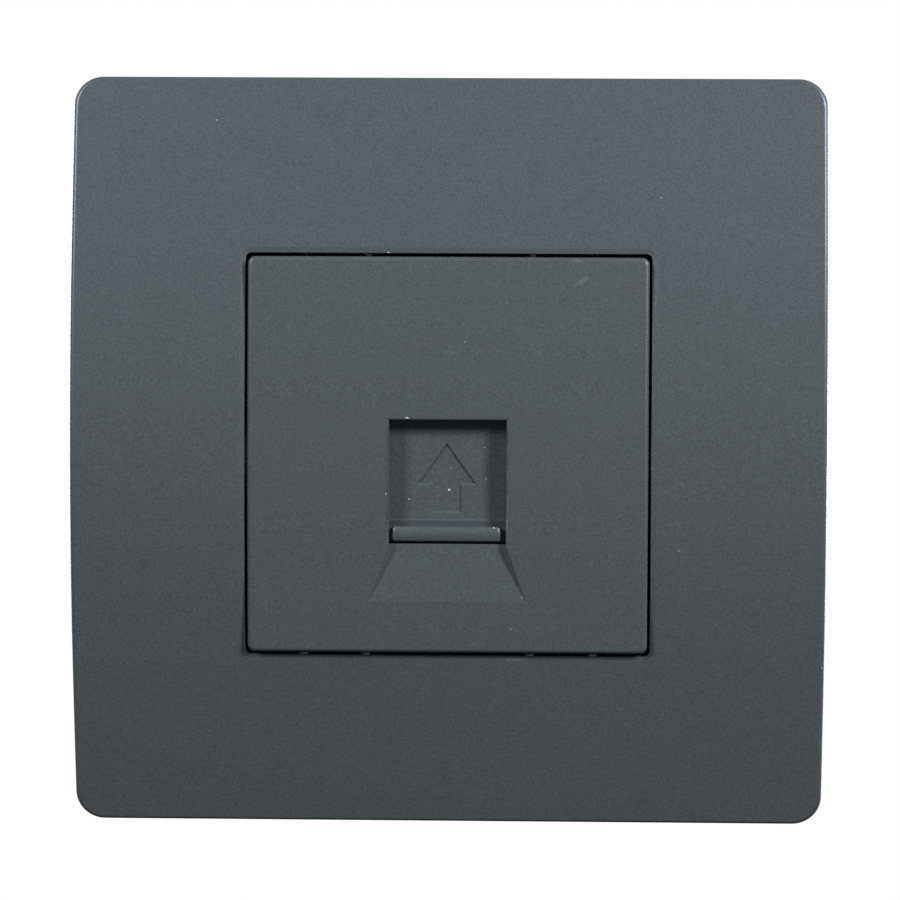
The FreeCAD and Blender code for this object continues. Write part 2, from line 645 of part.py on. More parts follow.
def make_insert_face():
    insert = new_piece("insert_face")
    profile = draw_on(insert, "insert_profile", "YZ_Plane", "-insert_width / 2")
    tall = size("insert_height") / 2
    radius = size("insert_crown")
    centre = Vector(radius - size("insert_stand"), 0, 0)
    turn = math.asin(tall / radius)
    fore = centre.x - radius * math.cos(turn)
    back = -size("insert_skirt")
    profile.addGeometry([
        Part.LineSegment(Vector(back, -tall, 0), Vector(back, tall, 0)),
        Part.LineSegment(Vector(back, tall, 0), Vector(fore, tall, 0)),
        Part.ArcOfCircle(Part.Circle(centre, Vector(0, 0, 1), radius), math.pi - turn, math.pi + turn),
        Part.LineSegment(Vector(fore, -tall, 0), Vector(back, -tall, 0)),
    ], False)
    for line in range(4):
        profile.addConstraint(Sketcher.Constraint("Coincident", line, 2, (line + 1) % 4, 1))
    hold(profile, "back_top", "-insert_skirt", "DistanceX", -1, 1, 0, 2, back)
    hold(profile, "back_low", "-insert_skirt", "DistanceX", -1, 1, 0, 1, back)
    hold(profile, "top", "insert_height / 2", "DistanceY", -1, 1, 0, 2, tall)
    hold(profile, "low", "-insert_height / 2", "DistanceY", -1, 1, 0, 1, -tall)
    hold(profile, "top_front", "insert_height / 2", "DistanceY", -1, 1, 1, 2, tall)
    hold(profile, "low_front", "-insert_height / 2", "DistanceY", -1, 1, 3, 1, -tall)
    hold(profile, "level", "0", "DistanceY", -1, 1, 2, 3, 0.0)
    hold(profile, "centre", "insert_crown - insert_stand", "DistanceX", -1, 1, 2, 3, centre.x)
    hold(profile, "crown", "insert_crown", "Radius", 2, radius)
    grow(insert, "insert_block", profile, "insert_width")
    round_off(insert, "insert_corners", "insert_corner", lambda edge: runs_along(edge, "y"))
    round_off(insert, "insert_front_edge", "insert_edge",
              lambda edge: edge.BoundBox.YMax < -size("insert_floor") and not runs_along(edge, "y"))

    hollow = draw_on(insert, "insert_hollow_outline", "XZ_Plane", "insert_skirt")
    across = "(insert_width / 2 - insert_wall)"
    up = "(insert_height / 2 - insert_wall)"
    rectangle(hollow, "hollow", f"-{across}", f"-{up}", across, up)
    carve(insert, "insert_hollow", hollow, "insert_floor - insert_skirt")

    way_frame = draw_on(insert, "way_frame_outline", "XZ_Plane", "guide_front")
    rectangle(way_frame, "frame", "-(way_half + way_frame)", "-(way_low + way_frame)",
              "way_half + way_frame", "way_high + way_frame")
    grow(insert, "way_frame", way_frame, "insert_floor - guide_front + bond")
    way = draw_on(insert, "way_outline", "XZ_Plane", "guide_front")
    rectangle(way, "way", "-way_half", "-way_low", "way_half", "way_high")
    carve(insert, "shutter_way", way, "way_floor - guide_front")

    port = draw_on(insert, "port_outline", "XZ_Plane", "guide_front")
    rectangle(port, "port", "-port_width / 2", "-port_drop", "port_width / 2", "port_height - port_drop")
    carve(insert, "port", port, "insert_stand - guide_front + overrun")
    low = -size("port_drop")
    high = size("port_height") - size("port_drop")
    half = size("port_width") / 2

    def port_front(edge):
        box = edge.BoundBox
        inside = max(abs(box.XMin), abs(box.XMax)) < half + NEAR
        inside = inside and box.ZMin > low - NEAR and box.ZMax < high + NEAR
        sill = near(box.ZMax, low)
        fore = box.YMax < -(size("way_floor") + size("insert_stand")) / 2
        return inside and fore and not sill and not runs_along(edge, "y")

    round_off(insert, "port_front_edge", "port_edge", port_front)
    make_finger_relief(insert)

    posts = draw_on(insert, "post_outlines", "XZ_Plane", "-board_rear_gap")
    pilots = draw_on(insert, "pilot_outlines", "XZ_Plane", "-board_rear_gap")
    for name, sign in (("left", "-"), ("right", "")):
        circle(posts, name, f"{sign}post_spread", "-post_level", "post_radius")
        circle(pilots, name, f"{sign}post_spread", "-post_level", "pilot_radius")
    grow(insert, "posts", posts, "board_rear_gap + insert_floor + bond")
    carve(insert, "pilot_holes", pilots, "pilot_depth")

    slits = draw_on(insert, "tongue_slit_outline", "XZ_Plane", "insert_skirt")
    for name, sign in (("left", "-"), ("right", "")):
        for end, low_sign in (("upper", ""), ("lower", "-")):
            for flank, step in (("in", "-"), ("out", "+")):
                edge = f"{sign}tongue_spread {step} tongue_width / 2"
                rectangle(slits, f"{end}_{name}_{flank}", edge, f"{low_sign}({up} - bond)",
                          f"{edge} {step} tongue_slit", f"{low_sign}(insert_height / 2 + bond)")
            start = f"{sign}tongue_spread - tongue_width / 2"
            nib = draw_on(insert, f"nib_{end}_{name}_profile", "YZ_Plane", start)
            root = f"{low_sign}(insert_height / 2 - bond)"
            tip = f"{low_sign}(insert_height / 2 + tongue_bite)"
            lead = f"{low_sign}(insert_height / 2)"
            slope_end = "-(tongue_high - tongue_flat)"
            outline(nib, "nib", [("-tongue_low", root), ("-tongue_low", lead), (slope_end, tip),
                                 ("-tongue_high", tip), ("-tongue_high", root)])
            grow(insert, f"nib_{end}_{name}", nib, "tongue_width")
    carve(insert, "tongue_slits", slits, "tongue_root - insert_skirt")
    return insert


def make_finger_relief(insert):
    """A sloping, flared hollow below the port that leaves room for a fingertip."""
    fore = "-(insert_stand + overrun)"
    top_face = "(insert_stand - insert_crown + sqrt(insert_crown^2 - port_drop^2))"
    reach = "(port_drop + relief_length)"
    foot_face = f"(insert_stand - insert_crown + sqrt(insert_crown^2 - {reach}^2))"
    flare = "(relief_draft / relief_depth)"
    upper = draw_on(insert, "relief_top_outline", "XY_Plane", "-port_drop")
    floor_half = "(port_width / 2 - relief_draft)"
    floor = f"({top_face} - relief_depth)"
    wide = f"({floor_half} + {flare} * (insert_stand + overrun - {floor}))"
    outline(upper, "top", [(f"-{wide}", fore), (f"-{floor_half}", f"-{floor}"),
                           (floor_half, f"-{floor}"), (wide, fore)])
    lower = draw_on(insert, "relief_foot_outline", "XY_Plane", f"-{reach}")
    foot_half = "(port_width / 2 + relief_spread)"
    wide = f"({foot_half} + {flare} * (insert_stand + overrun - {foot_face}))"
    outline(lower, "foot", [(f"-{wide}", fore), (f"-{foot_half}", f"-{foot_face}"),
                            (foot_half, f"-{foot_face}"), (wide, fore)])
    loft = insert.newObject("PartDesign::SubtractiveLoft", "finger_relief")
    loft.Profile = upper
    loft.Sections = [lower]
    loft.Ruled = True
    return loft


# Dust shutter and its springs

def make_dust_shutter():
    shutter = new_piece("dust_shutter")
    plate = draw_on(shutter, "shutter_outline", "XZ_Plane", "shutter_stand - shutter_thick")
    rectangle(plate, "plate", "-shutter_half", "-shutter_low", "shutter_half", "shutter_high")
    grow(shutter, "shutter_block", plate, "shutter_thick")

    field = draw_on(shutter, "field_outline", "XZ_Plane", "shutter_stand")
    rectangle(field, "field", "-(shutter_half + overrun)", "-field_low",
              "shutter_half + overrun", "shutter_high + overrun")
    shallow = carve(shutter, "field", field, "field_depth", along=False)
    shallow.setExpression("TaperAngle", ref("-engraved_slope"))

    valley = draw_on(shutter, "valley_profile", "YZ_Plane", "-(shutter_half + overrun)")
    outline(valley, "valley", [("-shutter_stand", "-field_low"),
                               ("-(shutter_stand + bond)", "-field_low"),
                               ("-(shutter_stand + bond)", "-(field_low + valley_height)"),
                               ("-(shutter_stand - valley_depth)", "-(field_low + valley_height)")])
    carve(shutter, "valley", valley, "2 * (shutter_half + overrun)")

    ears = draw_on(shutter, "ear_outline", "XZ_Plane", "ear_rear")
    pins = draw_on(shutter, "pin_outline", "XY_Plane", "ear_height - shutter_low")
    for name, sign in (("left", "-"), ("right", "")):
        rectangle(ears, name, f"{sign}(shutter_half - bond)", "-shutter_low",
                  f"{sign}ear_half", "ear_height - shutter_low")
        circle(pins, name, f"{sign}spring_spread", "-spring_stand", "pin_radius")
    grow(shutter, "ears", ears, "shutter_stand - ear_rear")
    grow(shutter, "spring_pins", pins, "pin_length")

    lip = draw_on(shutter, "lip_profile", "YZ_Plane", "-lip_width / 2")
    low = -size("lip_low")
    high = low + size("lip_height")
    crown = size("lip_crown")
    centre = Vector(crown - size("lip_stand"), (low + high) / 2, 0)
    turn = math.asin((high - low) / 2 / crown)
    fore = centre.x - crown * math.cos(turn)
    back = size("valley_depth") + size("bond") - size("shutter_stand")
    lip.addGeometry([
        Part.LineSegment(Vector(back, low, 0), Vector(back, high, 0)),
        Part.LineSegment(Vector(back, high, 0), Vector(fore, high, 0)),
        Part.ArcOfCircle(Part.Circle(centre, Vector(0, 0, 1), crown), math.pi - turn, math.pi + turn),
        Part.LineSegment(Vector(fore, low, 0), Vector(back, low, 0)),
    ], False)
    for line in range(4):
        lip.addConstraint(Sketcher.Constraint("Coincident", line, 2, (line + 1) % 4, 1))
    root = "valley_depth + bond - shutter_stand"
    hold(lip, "back_top", root, "DistanceX", -1, 1, 0, 2, back)
    hold(lip, "back_low", root, "DistanceX", -1, 1, 0, 1, back)
    hold(lip, "top", "lip_height - lip_low", "DistanceY", -1, 1, 0, 2, high)
    hold(lip, "low", "-lip_low", "DistanceY", -1, 1, 0, 1, low)
    hold(lip, "top_front", "lip_height - lip_low", "DistanceY", -1, 1, 1, 2, high)
    hold(lip, "low_front", "-lip_low", "DistanceY", -1, 1, 3, 1, low)
    hold(lip, "level", "lip_height / 2 - lip_low", "DistanceY", -1, 1, 2, 3, centre.y)
    hold(lip, "centre", "lip_crown - lip_stand", "DistanceX", -1, 1, 2, 3, centre.x)
    hold(lip, "crown", "lip_crown", "Radius", 2, crown)
    grow(shutter, "lip", lip, "lip_width")

    def lip_edge(level):
        return lambda edge: (runs_along(edge, "x") and near(edge.BoundBox.ZMax, level)
                             and near(edge.BoundBox.YMax, fore))

    round_off(shutter, "lip_upper_edge", "lip_upper_edge", lip_edge(high))
    round_off(shutter, "lip_lower_edge", "lip_lower_edge", lip_edge(low))
    lip_half = size("lip_width") / 2

    def lip_end(edge):
        box = edge.BoundBox
        at_end = near(abs(box.XMin), lip_half) and box.XLength < NEAR
        fore = box.YMax < -(size("shutter_stand") + size("lip_stand")) / 2
        return at_end and fore and not runs_along(edge, "y")

    round_off(shutter, "lip_end_edges", "lip_end_edge", lip_end)

    arrow = draw_on(shutter, "arrow_outline", "XZ_Plane", "shutter_stand - field_depth")
    outline(arrow, "arrow", [("0", "arrow_top"), ("-arrow_half", "-arrow_barb_low"),
                             ("-stem_half", "-arrow_barb_low"), ("-stem_half", "-arrow_foot"),
                             ("stem_half", "-arrow_foot"), ("stem_half", "-arrow_barb_low"),
                             ("arrow_half", "-arrow_barb_low")])
    engraving = carve(shutter, "arrow", arrow, "arrow_depth", along=False)
    engraving.setExpression("TaperAngle", ref("-engraved_slope"))
    shutter.setExpression("Placement.Base.x", ref("-shutter_aside"))
    return shutter


def make_shutter_spring(name, sign):
    """A compression spring between the shutter's ear and the upper end of its way."""
    helix = doc.addObject("Part::Helix", f"{name}_helix")
    low = "(ear_height - shutter_low + wire_radius + spring_seat)"
    high = "(way_high - wire_radius - spring_seat)"
    helix.setExpression("Radius", ref("coil_radius"))
    helix.setExpression("Height", ref(f"{high} - {low}"))
    helix.setExpression("Pitch", ref(f"({high} - {low}) / spring_turns"))
    wire = doc.addObject("Part::Circle", f"{name}_wire")
    wire.setExpression("Radius", ref("wire_radius"))
    wire.setExpression("Placement.Base.x", ref("coil_radius"))
    wire.Placement.Rotation = Rotation(Vector(1, 0, 0), 90)
    spring = doc.addObject("Part::Sweep", name)
    spring.Label = name
    spring.Sections = [wire]
    spring.Spine = (helix, ["Edge1"])
    spring.Solid = True
    spring.Frenet = True
    spring.setExpression("Placement.Base.x", ref(f"{sign}spring_spread"))
    spring.setExpression("Placement.Base.y", ref("-spring_stand"))
    spring.setExpression("Placement.Base.z", ref(low))
    return spring


def make_shutter_guide():
    guide = new_piece("shutter_guide")
    plate = draw_on(guide, "guide_outline", "XZ_Plane", "guide_rear")
    rectangle(plate, "plate", "-(way_half + way_frame)", "-(way_low + way_frame)",
              "way_half + way_frame", "way_high + way_frame")
    grow(guide, "guide_block", plate, "guide_thick")
    for name, sign in (("left", "-"), ("right", "")):
        arm = draw_on(guide, f"arm_{name}_outline", "XZ_Plane", "guide_rear")
        rectangle(arm, "arm", f"{sign}(way_half + way_frame - bond)", "-(post_level + ear_ring)",
                  f"{sign}post_spread", "-(post_level - ear_ring)")
        grow(guide, f"arm_{name}", arm, "guide_thick")
        ring = draw_on(guide, f"ring_{name}_outline", "XZ_Plane", "guide_rear")
        circle(ring, "ring", f"{sign}post_spread", "-post_level", "ear_ring")
        grow(guide, f"ring_{name}", ring, "guide_thick")
    holes = draw_on(guide, "guide_holes", "XZ_Plane", "guide_rear")
    rectangle(holes, "window", "-(cavity_half + guide_lead)", "-(key_low + guide_margin)",
              "cavity_half + guide_lead", "cavity_high + guide_margin")
    for name, sign in (("left", "-"), ("right", "")):
        circle(holes, name, f"{sign}post_spread", "-post_level", "post_radius + ring_play")
    carve(guide, "guide_openings", holes, "guide_thick")
    channels = draw_on(guide, "channel_outlines", "XZ_Plane", "guide_front")
    for name, sign in (("left", "-"), ("right", "")):
        rectangle(channels, name, f"{sign}(shutter_half - channel_play)", "-way_low",
                  f"{sign}way_half", "way_high")
    carve(guide, "spring_channels", channels, "guide_front - channel_floor", along=False)
    return guide


# Jack housing, contact carrier and contacts

def contact_place(number):
    """The middle of one contact, counted from the left, as a formula in X."""
    return f"(contact_pitch * {number - (CONTACTS + 1) / 2})"


def make_jack_housing():
    jack = new_piece("jack_housing")
    block = draw_on(jack, "jack_outline", "XZ_Plane", "-board_rear_gap")
    rectangle(block, "block", "-jack_half", "-jack_low", "jack_half", "jack_high")
    grow(jack, "jack_block", block, "board_rear_gap + guide_rear")
    cavity = draw_on(jack, "cavity_outline", "XZ_Plane", "guide_rear")
    outline(cavity, "cavity", [
        ("-cavity_half", "cavity_high"), ("-cavity_half", "-cavity_low"), ("-latch_half", "-cavity_low"),
        ("-latch_half", "-latch_low"), ("-key_half", "-latch_low"), ("-key_half", "-key_low"),
        ("key_half", "-key_low"), ("key_half", "-latch_low"), ("latch_half", "-latch_low"),
        ("latch_half", "-cavity_low"), ("cavity_half", "-cavity_low"), ("cavity_half", "cavity_high")])
    carve(jack, "plug_cavity", cavity, "guide_rear + board_rear_gap - jack_back", along=False)
    tray = draw_on(jack, "tray_outline", "XZ_Plane", "-board_rear_gap")
    rectangle(tray, "tray", "-tray_half", "cavity_high - bond", "tray_half", "tray_high")
    carve(jack, "carrier_tray", tray, "board_rear_gap + guide_rear - tray_front")
    comb = draw_on(jack, "comb_outlines", "XZ_Plane", "jack_back + bond - board_rear_gap")
    for number in range(1, CONTACTS + 1):
        middle = contact_place(number)
        rectangle(comb, f"slot{number}", f"{middle} - comb_half", "-(contact_tip + comb_drop)",
                  f"{middle} + comb_half", "cavity_high")
    carve(jack, "comb", comb, "jack_back + bond", along=False)
    return jack


def make_contact_carrier():
    carrier = new_piece("contact_carrier")
    block = draw_on(carrier, "carrier_outline", "XZ_Plane", "-(board_rear_gap - carrier_play)")
    rectangle(block, "block", "-(tray_half - carrier_play)", "cavity_high + carrier_sill",
              "tray_half - carrier_play", "tray_high - carrier_play")
    nose = "(guide_rear - tray_front - carrier_nose)"
    grow(carrier, "carrier_block", block, f"board_rear_gap - carrier_play + {nose}")
    lower = draw_on(carrier, "lower_groove_outline", "XZ_Plane", "-board_rear_gap")
    upper = draw_on(carrier, "upper_groove_outline", "XZ_Plane", "-board_rear_gap")
    for number in range(1, CONTACTS + 1):
        middle = contact_place(number)
        odd = number % 2 == 1
        grooves, level = (lower, "lower_row") if odd else (upper, "upper_row")
        rectangle(grooves, f"groove{number}", f"{middle} - comb_half", f"{level} - contact_thick / 2",
                  f"{middle} + comb_half", "tray_high")
    carve(carrier, "lower_grooves", lower, f"board_rear_gap + {nose}")
    carve(carrier, "upper_grooves", upper, f"board_rear_gap + {nose}")
    return carrier


def bent_path(points, radii):
    """A wire through the points, with a tangent arc of the given radius at each inner one."""
    edges = []
    start = points[0]
    for before, corner, after, radius in zip(points, points[1:], points[2:], radii):
        arriving = (corner - before).normalize()
        leaving = (after - corner).normalize()
        turn = arriving.getAngle(leaving)
        trim = radius * math.tan(turn / 2)
        enter = corner - arriving * trim
        leave = corner + leaving * trim
        inward = (leaving - arriving).normalize()
        centre = corner + inward * (radius / math.cos(turn / 2))
        middle = centre - inward * radius
        edges.append(Part.LineSegment(start, enter).toShape())
        edges.append(Part.Arc(enter, middle, leave).toShape())
        start = leave
    edges.append(Part.LineSegment(start, points[-1]).toShape())
    return Part.Wire(edges)


def make_contact(number):
    """A spring wire: solder tail, run through the carrier, bend at the front, sloping free end."""
    odd = number % 2 == 1
    row = size("lower_row") if odd else size("upper_row")
    across = (number - (CONTACTS + 1) / 2) * size("contact_pitch")
    bend_front = -(size("guide_rear") - size("tray_front") - size("contact_turn"))
    tail = size("board_rear") + size("solder_tail")
    comb = size("board_rear_gap") - size("jack_back") / 2
    points = [Vector(across, tail, row), Vector(across, bend_front, row),
              Vector(across, bend_front, size("cavity_high")), Vector(across, comb, -size("contact_tip"))]
    path = bent_path(points, [size("contact_bend"), size("contact_bend")])
    wide = size("contact_wide") / 2
    thick = size("contact_thick") / 2
    section = [Vector(across - wide, tail, row - thick), Vector(across + wide, tail, row - thick),
               Vector(across + wide, tail, row + thick), Vector(across - wide, tail, row + thick)]
    contact = doc.addObject("Part::Feature", f"contact_{number}")
    contact.Label = f"contact_{number}"
    contact.Shape = path.makePipeShell([Part.makePolygon(section + section[:1])], True, False)
    return contact


# Circuit board

def block_wire_place(number):
    """The level of one wire slot of a punch-down block, counted from below, as a formula in Z."""
    return f"(block_pitch * {number - (WIRES_PER_BLOCK + 1) / 2} - post_level)"


def make_circuit_board():
    board = new_piece("circuit_board")
    rear = "-board_rear"
    plate = draw_on(board, "board_outline", "XZ_Plane", rear)
    rectangle(plate, "board", "-board_half", "-(post_level + board_height / 2)",
              "board_half", "board_height / 2 - post_level")
    grow(board, "board_block", plate, "board_thick")
    round_off(board, "board_corners", "board_corner", lambda edge: runs_along(edge, "y"))
    holes = draw_on(board, "board_holes", "XZ_Plane", rear)
    for name, sign in (("left", "-"), ("right", "")):
        circle(holes, f"screw_{name}", f"{sign}post_spread", "-post_level", "screw_shank + hole_play")
        for number in range(1, WIRES_PER_BLOCK + 1):
            circle(holes, f"blade_{name}_{number}", f"{sign}block_spread",
                   block_wire_place(number), "blade_pin / 2 + pin_hole_play")
    for number in range(1, CONTACTS + 1):
        row = "lower_row" if number % 2 == 1 else "upper_row"
        circle(holes, f"contact_{number}", contact_place(number), row, "contact_wide / 2 + via_play")
    carve(board, "board_drillings", holes, "board_thick")
    return board


# Punch-down blocks, blades and board screws

def make_idc_block(name, sign):
    block = new_piece(name)
    rear = "-(board_rear + block_depth)"
    body = draw_on(block, f"{name}_outline", "XZ_Plane", rear)
    rectangle(body, "block", f"{sign}block_spread - block_width / 2", "-(post_level + block_length / 2)",
              f"{sign}block_spread + block_width / 2", "block_length / 2 - post_level")
    grow(block, f"{name}_block", body, "block_depth")
    slots = draw_on(block, f"{name}_slots", "YZ_Plane", f"{sign}block_spread - block_width / 2 - overrun")
    deep = "(board_rear + block_depth)"
    for number in range(1, WIRES_PER_BLOCK + 1):
        level = block_wire_place(number)
        outline(slots, f"slot{number}", [
            (f"{deep} + bond", f"{level} - mouth_width / 2"),
            (f"{deep} - mouth_depth", f"{level} - wire_slot / 2"),
            (f"{deep} - wire_slot_depth", f"{level} - wire_slot / 2"),
            (f"{deep} - wire_slot_depth", f"{level} + wire_slot / 2"),
            (f"{deep} - mouth_depth", f"{level} + wire_slot / 2"),
            (f"{deep} + bond", f"{level} + mouth_width / 2")])
    carve(block, f"{name}_wire_slots", slots, "block_width + 2 * overrun")
    pockets = draw_on(block, f"{name}_pockets", "XZ_Plane", rear)
    pins = draw_on(block, f"{name}_pin_holes", "XZ_Plane", "-board_rear")
    for number in range(1, WIRES_PER_BLOCK + 1):
        level = block_wire_place(number)
        thin = "(blade_thick / 2 + blade_play)"
        wide = "(blade_width / 2 + blade_play)"
        rectangle(pockets, f"pocket{number}", f"{sign}block_spread - {thin}", f"{level} - {wide}",
                  f"{sign}block_spread + {thin}", f"{level} + {wide}")
        foot = "(blade_pin / 2 + blade_play)"
        rectangle(pins, f"pin{number}", f"{sign}block_spread - {thin}", f"{level} - {foot}",
                  f"{sign}block_spread + {thin}", f"{level} + {foot}")
    carve(block, f"{name}_blade_pockets", pockets, "block_depth - blade_foot")
    carve(block, f"{name}_pin_ways", pins, "block_depth", along=False)
    return block


def make_idc_blade(name, sign, number):
    """A forked blade that cuts through a wire's sleeve, with a pin through the board."""
    blade = new_piece(name)
    sketch = draw_on(blade, f"{name}_outline", "YZ_Plane", f"{sign}block_spread - blade_thick / 2")
    level = block_wire_place(number)
    front = "(board_rear + blade_foot)"
    rear = "(board_rear + block_depth - blade_top)"
    tail = "(board_rear_gap - solder_tail)"
    outline(sketch, "blade", [
        (tail, f"{level} - blade_pin / 2"), (front, f"{level} - blade_pin / 2"),
        (front, f"{level} - blade_width / 2"), (rear, f"{level} - blade_width / 2"),
        (rear, f"{level} - blade_slit"), (f"{rear} - blade_lead", f"{level} - blade_slit / 2"),
        (f"{rear} - blade_slit_depth", f"{level} - blade_slit / 2"),
        (f"{rear} - blade_slit_depth", f"{level} + blade_slit / 2"),
        (f"{rear} - blade_lead", f"{level} + blade_slit / 2"),
        (rear, f"{level} + blade_slit"), (rear, f"{level} + blade_width / 2"),
        (front, f"{level} + blade_width / 2"), (front, f"{level} + blade_pin / 2"),
        (tail, f"{level} + blade_pin / 2")])
    grow(blade, f"{name}_sheet", sketch, "blade_thick")
    return blade


def make_board_screws():
    """Two self-tapping screws from behind, through the board into the posts."""
    screws = new_piece("board_screws")
    for name, sign in (("left", "-"), ("right", "")):
        shank = draw_on(screws, f"shank_{name}_outline", "XZ_Plane", "-board_rear - screw_head_height / 2")
        circle(shank, "shank", f"{sign}post_spread", "-post_level", "screw_shank")
        grow(screws, f"shank_{name}", shank, "screw_length + screw_head_height / 2")
        head = draw_on(screws, f"head_{name}_outline", "XZ_Plane", "-board_rear")
        circle(head, "head", f"{sign}post_spread", "-post_level", "screw_head")
        grow(screws, f"head_{name}", head, "screw_head_height", along=False)
    bars = (("flat", "screw_cross", "screw_slot / 2"), ("tall", "screw_slot / 2", "screw_cross"))
    for way, wide, tall in bars:
        cross = draw_on(screws, f"cross_{way}_outline", "XZ_Plane", "-board_rear - screw_head_height")
        for name, sign in (("left", "-"), ("right", "")):
            rectangle(cross, name, f"{sign}post_spread - {wide}", f"-post_level - {tall}",
                      f"{sign}post_spread + {wide}", f"-post_level + {tall}")
        carve(screws, f"cross_{way}", cross, "screw_slot_depth")
    return screws


pieces = [make_cover_plate(), make_mounting_frame(), make_insert_face(), make_dust_shutter()]
pieces += [make_shutter_spring("shutter_spring_left", "-"), make_shutter_spring("shutter_spring_right", "")]
pieces += [make_shutter_guide(), make_jack_housing(), make_contact_carrier()]
pieces += [make_contact(number) for number in range(1, CONTACTS + 1)]
pieces += [make_circuit_board(), make_idc_block("idc_block_left", "-"), make_idc_block("idc_block_right", "")]
for side, sign, first in (("left", "-", 1), ("right", "", 1 + WIRES_PER_BLOCK)):
    for number in range(WIRES_PER_BLOCK):
        pieces.append(make_idc_blade(f"idc_blade_{first + number}", sign, number + 1))
pieces.append(make_board_screws())
doc.recompute()

# Nothing is written unless every feature worked and every cut took something away
for item in doc.Objects:
    if "Invalid" in item.State or "Error" in item.State:
        raise RuntimeError(f"{item.Name} failed: {item.State}")
    if item.TypeId in ("PartDesign::Pocket", "PartDesign::SubtractiveLoft"):
        if item.Shape.Volume > item.BaseFeature.Shape.Volume - 1e-6:
            raise RuntimeError(f"{item.Name} cut nothing")
for piece in pieces:
    if piece.Shape.isNull() or not piece.Shape.isValid():
        raise RuntimeError(f"{piece.Label} has no valid shape")

os.makedirs("parts", exist_ok=True)
for piece in pieces:
    piece.Shape.exportStep(os.path.join("parts", piece.Label + ".step"))
    print(piece.Label, len(piece.Shape.Solids), round(piece.Shape.Volume, 2))
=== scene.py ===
# %% [markdown]
# A flush data socket, dressed for the camera.
# The construction model brings every working piece in at its real size, so this lesson
# adds only what a caliper can't hold: the camera, the light, the finish of each surface,
# the solder and copper of the board, and the dust that has settled on the front.

# %% Load the working model
import json
import math
import random

import bmesh
import bpy
from mathutils import Matrix, Vector
from mathutils.bvhtree import BVHTree


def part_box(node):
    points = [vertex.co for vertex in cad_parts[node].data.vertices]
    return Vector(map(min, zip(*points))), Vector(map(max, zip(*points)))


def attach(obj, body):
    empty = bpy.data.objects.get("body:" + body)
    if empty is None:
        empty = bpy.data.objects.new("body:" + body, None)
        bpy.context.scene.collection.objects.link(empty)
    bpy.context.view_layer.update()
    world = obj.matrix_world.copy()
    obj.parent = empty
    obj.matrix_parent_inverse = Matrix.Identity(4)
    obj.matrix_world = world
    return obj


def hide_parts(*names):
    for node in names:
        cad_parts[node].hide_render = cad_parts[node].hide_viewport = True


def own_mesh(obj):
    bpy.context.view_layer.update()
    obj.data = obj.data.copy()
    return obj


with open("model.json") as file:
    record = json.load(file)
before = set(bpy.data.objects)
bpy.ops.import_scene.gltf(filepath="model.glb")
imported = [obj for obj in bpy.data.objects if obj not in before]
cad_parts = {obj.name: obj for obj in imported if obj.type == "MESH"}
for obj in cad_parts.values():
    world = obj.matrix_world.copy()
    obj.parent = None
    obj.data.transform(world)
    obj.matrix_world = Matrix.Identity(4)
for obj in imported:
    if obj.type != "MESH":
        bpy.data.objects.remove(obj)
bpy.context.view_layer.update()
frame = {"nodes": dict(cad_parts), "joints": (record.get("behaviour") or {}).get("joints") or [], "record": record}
MM = 0.001

# %% [markdown]
# The photographed socket was seen a little from the right and from above. Those small
# angles matter: they open the upper faces of the port and pull the right-hand edge in.
# A camera could be aimed by hand, but its angles are easier to check as named values,
# so its three axes are built from a turn, a tip and a lean, all in radians, and its place
# from the distance to the highest point of the crowned cover.

# %% Camera at the photograph's angle
PICTURE = 900
CENTRE = PICTURE / 2
SENSOR_MM = 36.0
FOCAL_PIXELS = 4412.5
DISTANCE_MM = 500.0
NEAREST_SEEN_MM = 10.0
TURN = 0.02906
TIP = -0.07615
LEAN = 0.00404
ASIDE_MM = 0.281
ABOVE_MM = 0.730

cover_low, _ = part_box("cover_plate")
apex = Vector((0, cover_low.y, 0))
level_right = Vector((math.cos(TURN), math.sin(TURN), 0))
ahead = Vector((-math.sin(TURN) * math.cos(TIP), math.cos(TURN) * math.cos(TIP), math.sin(TIP)))
level_up = level_right.cross(ahead)
place = apex + (level_right * ASIDE_MM - ahead * DISTANCE_MM + level_up * ABOVE_MM) * MM
right = level_right * math.cos(LEAN) + level_up * math.sin(LEAN)
up = level_up * math.cos(LEAN) - level_right * math.sin(LEAN)

camera_data = bpy.data.cameras.new("camera")
camera_data.sensor_width = SENSOR_MM
camera_data.lens = FOCAL_PIXELS / PICTURE * SENSOR_MM
camera_data.clip_start = NEAREST_SEEN_MM * MM
camera = bpy.data.objects.new("camera", camera_data)
aim = Matrix((right, up, -ahead)).transposed()
camera.matrix_world = Matrix.Translation(place) @ aim.to_4x4()
bpy.context.scene.collection.objects.link(camera)
bpy.context.scene.camera = camera
bpy.context.scene.view_settings.view_transform = "Standard"
print("camera at", [round(value, 4) for value in place], "lens", round(camera_data.lens, 1))

# %% [markdown]
# Colours are written as hex values, as a paint maker would give them for a screen.
# Blender's shaders want linear light, so one function turns the one into the other.
# One more small function adds a shader node with its settings and its links, which
# keeps each material below down to a list of what it is made of.

# %% Helpers for colours and shader nodes
def linear(code):
    """A hex colour as the linear red, green, blue and alpha that a shader takes."""
    parts = [int(code[i:i + 2], 16) / 255 for i in (1, 3, 5)]
    light = [p / 12.92 if p <= 0.04045 else ((p + 0.055) / 1.055) ** 2.4 for p in parts]
    return (*light, 1.0)


def add(tree, kind, inputs=None, **settings):
    """Adds a node, sets its options, and fills or links its inputs."""
    node = tree.nodes.new(kind)
    for name, value in settings.items():
        setattr(node, name, value)
    for name, value in (inputs or {}).items():
        if isinstance(value, bpy.types.NodeSocket):
            tree.links.new(value, node.inputs[name])
        else:
            node.inputs[name].default_value = value
    return node


print("linear mid grey", round(linear("#808080")[0], 3))

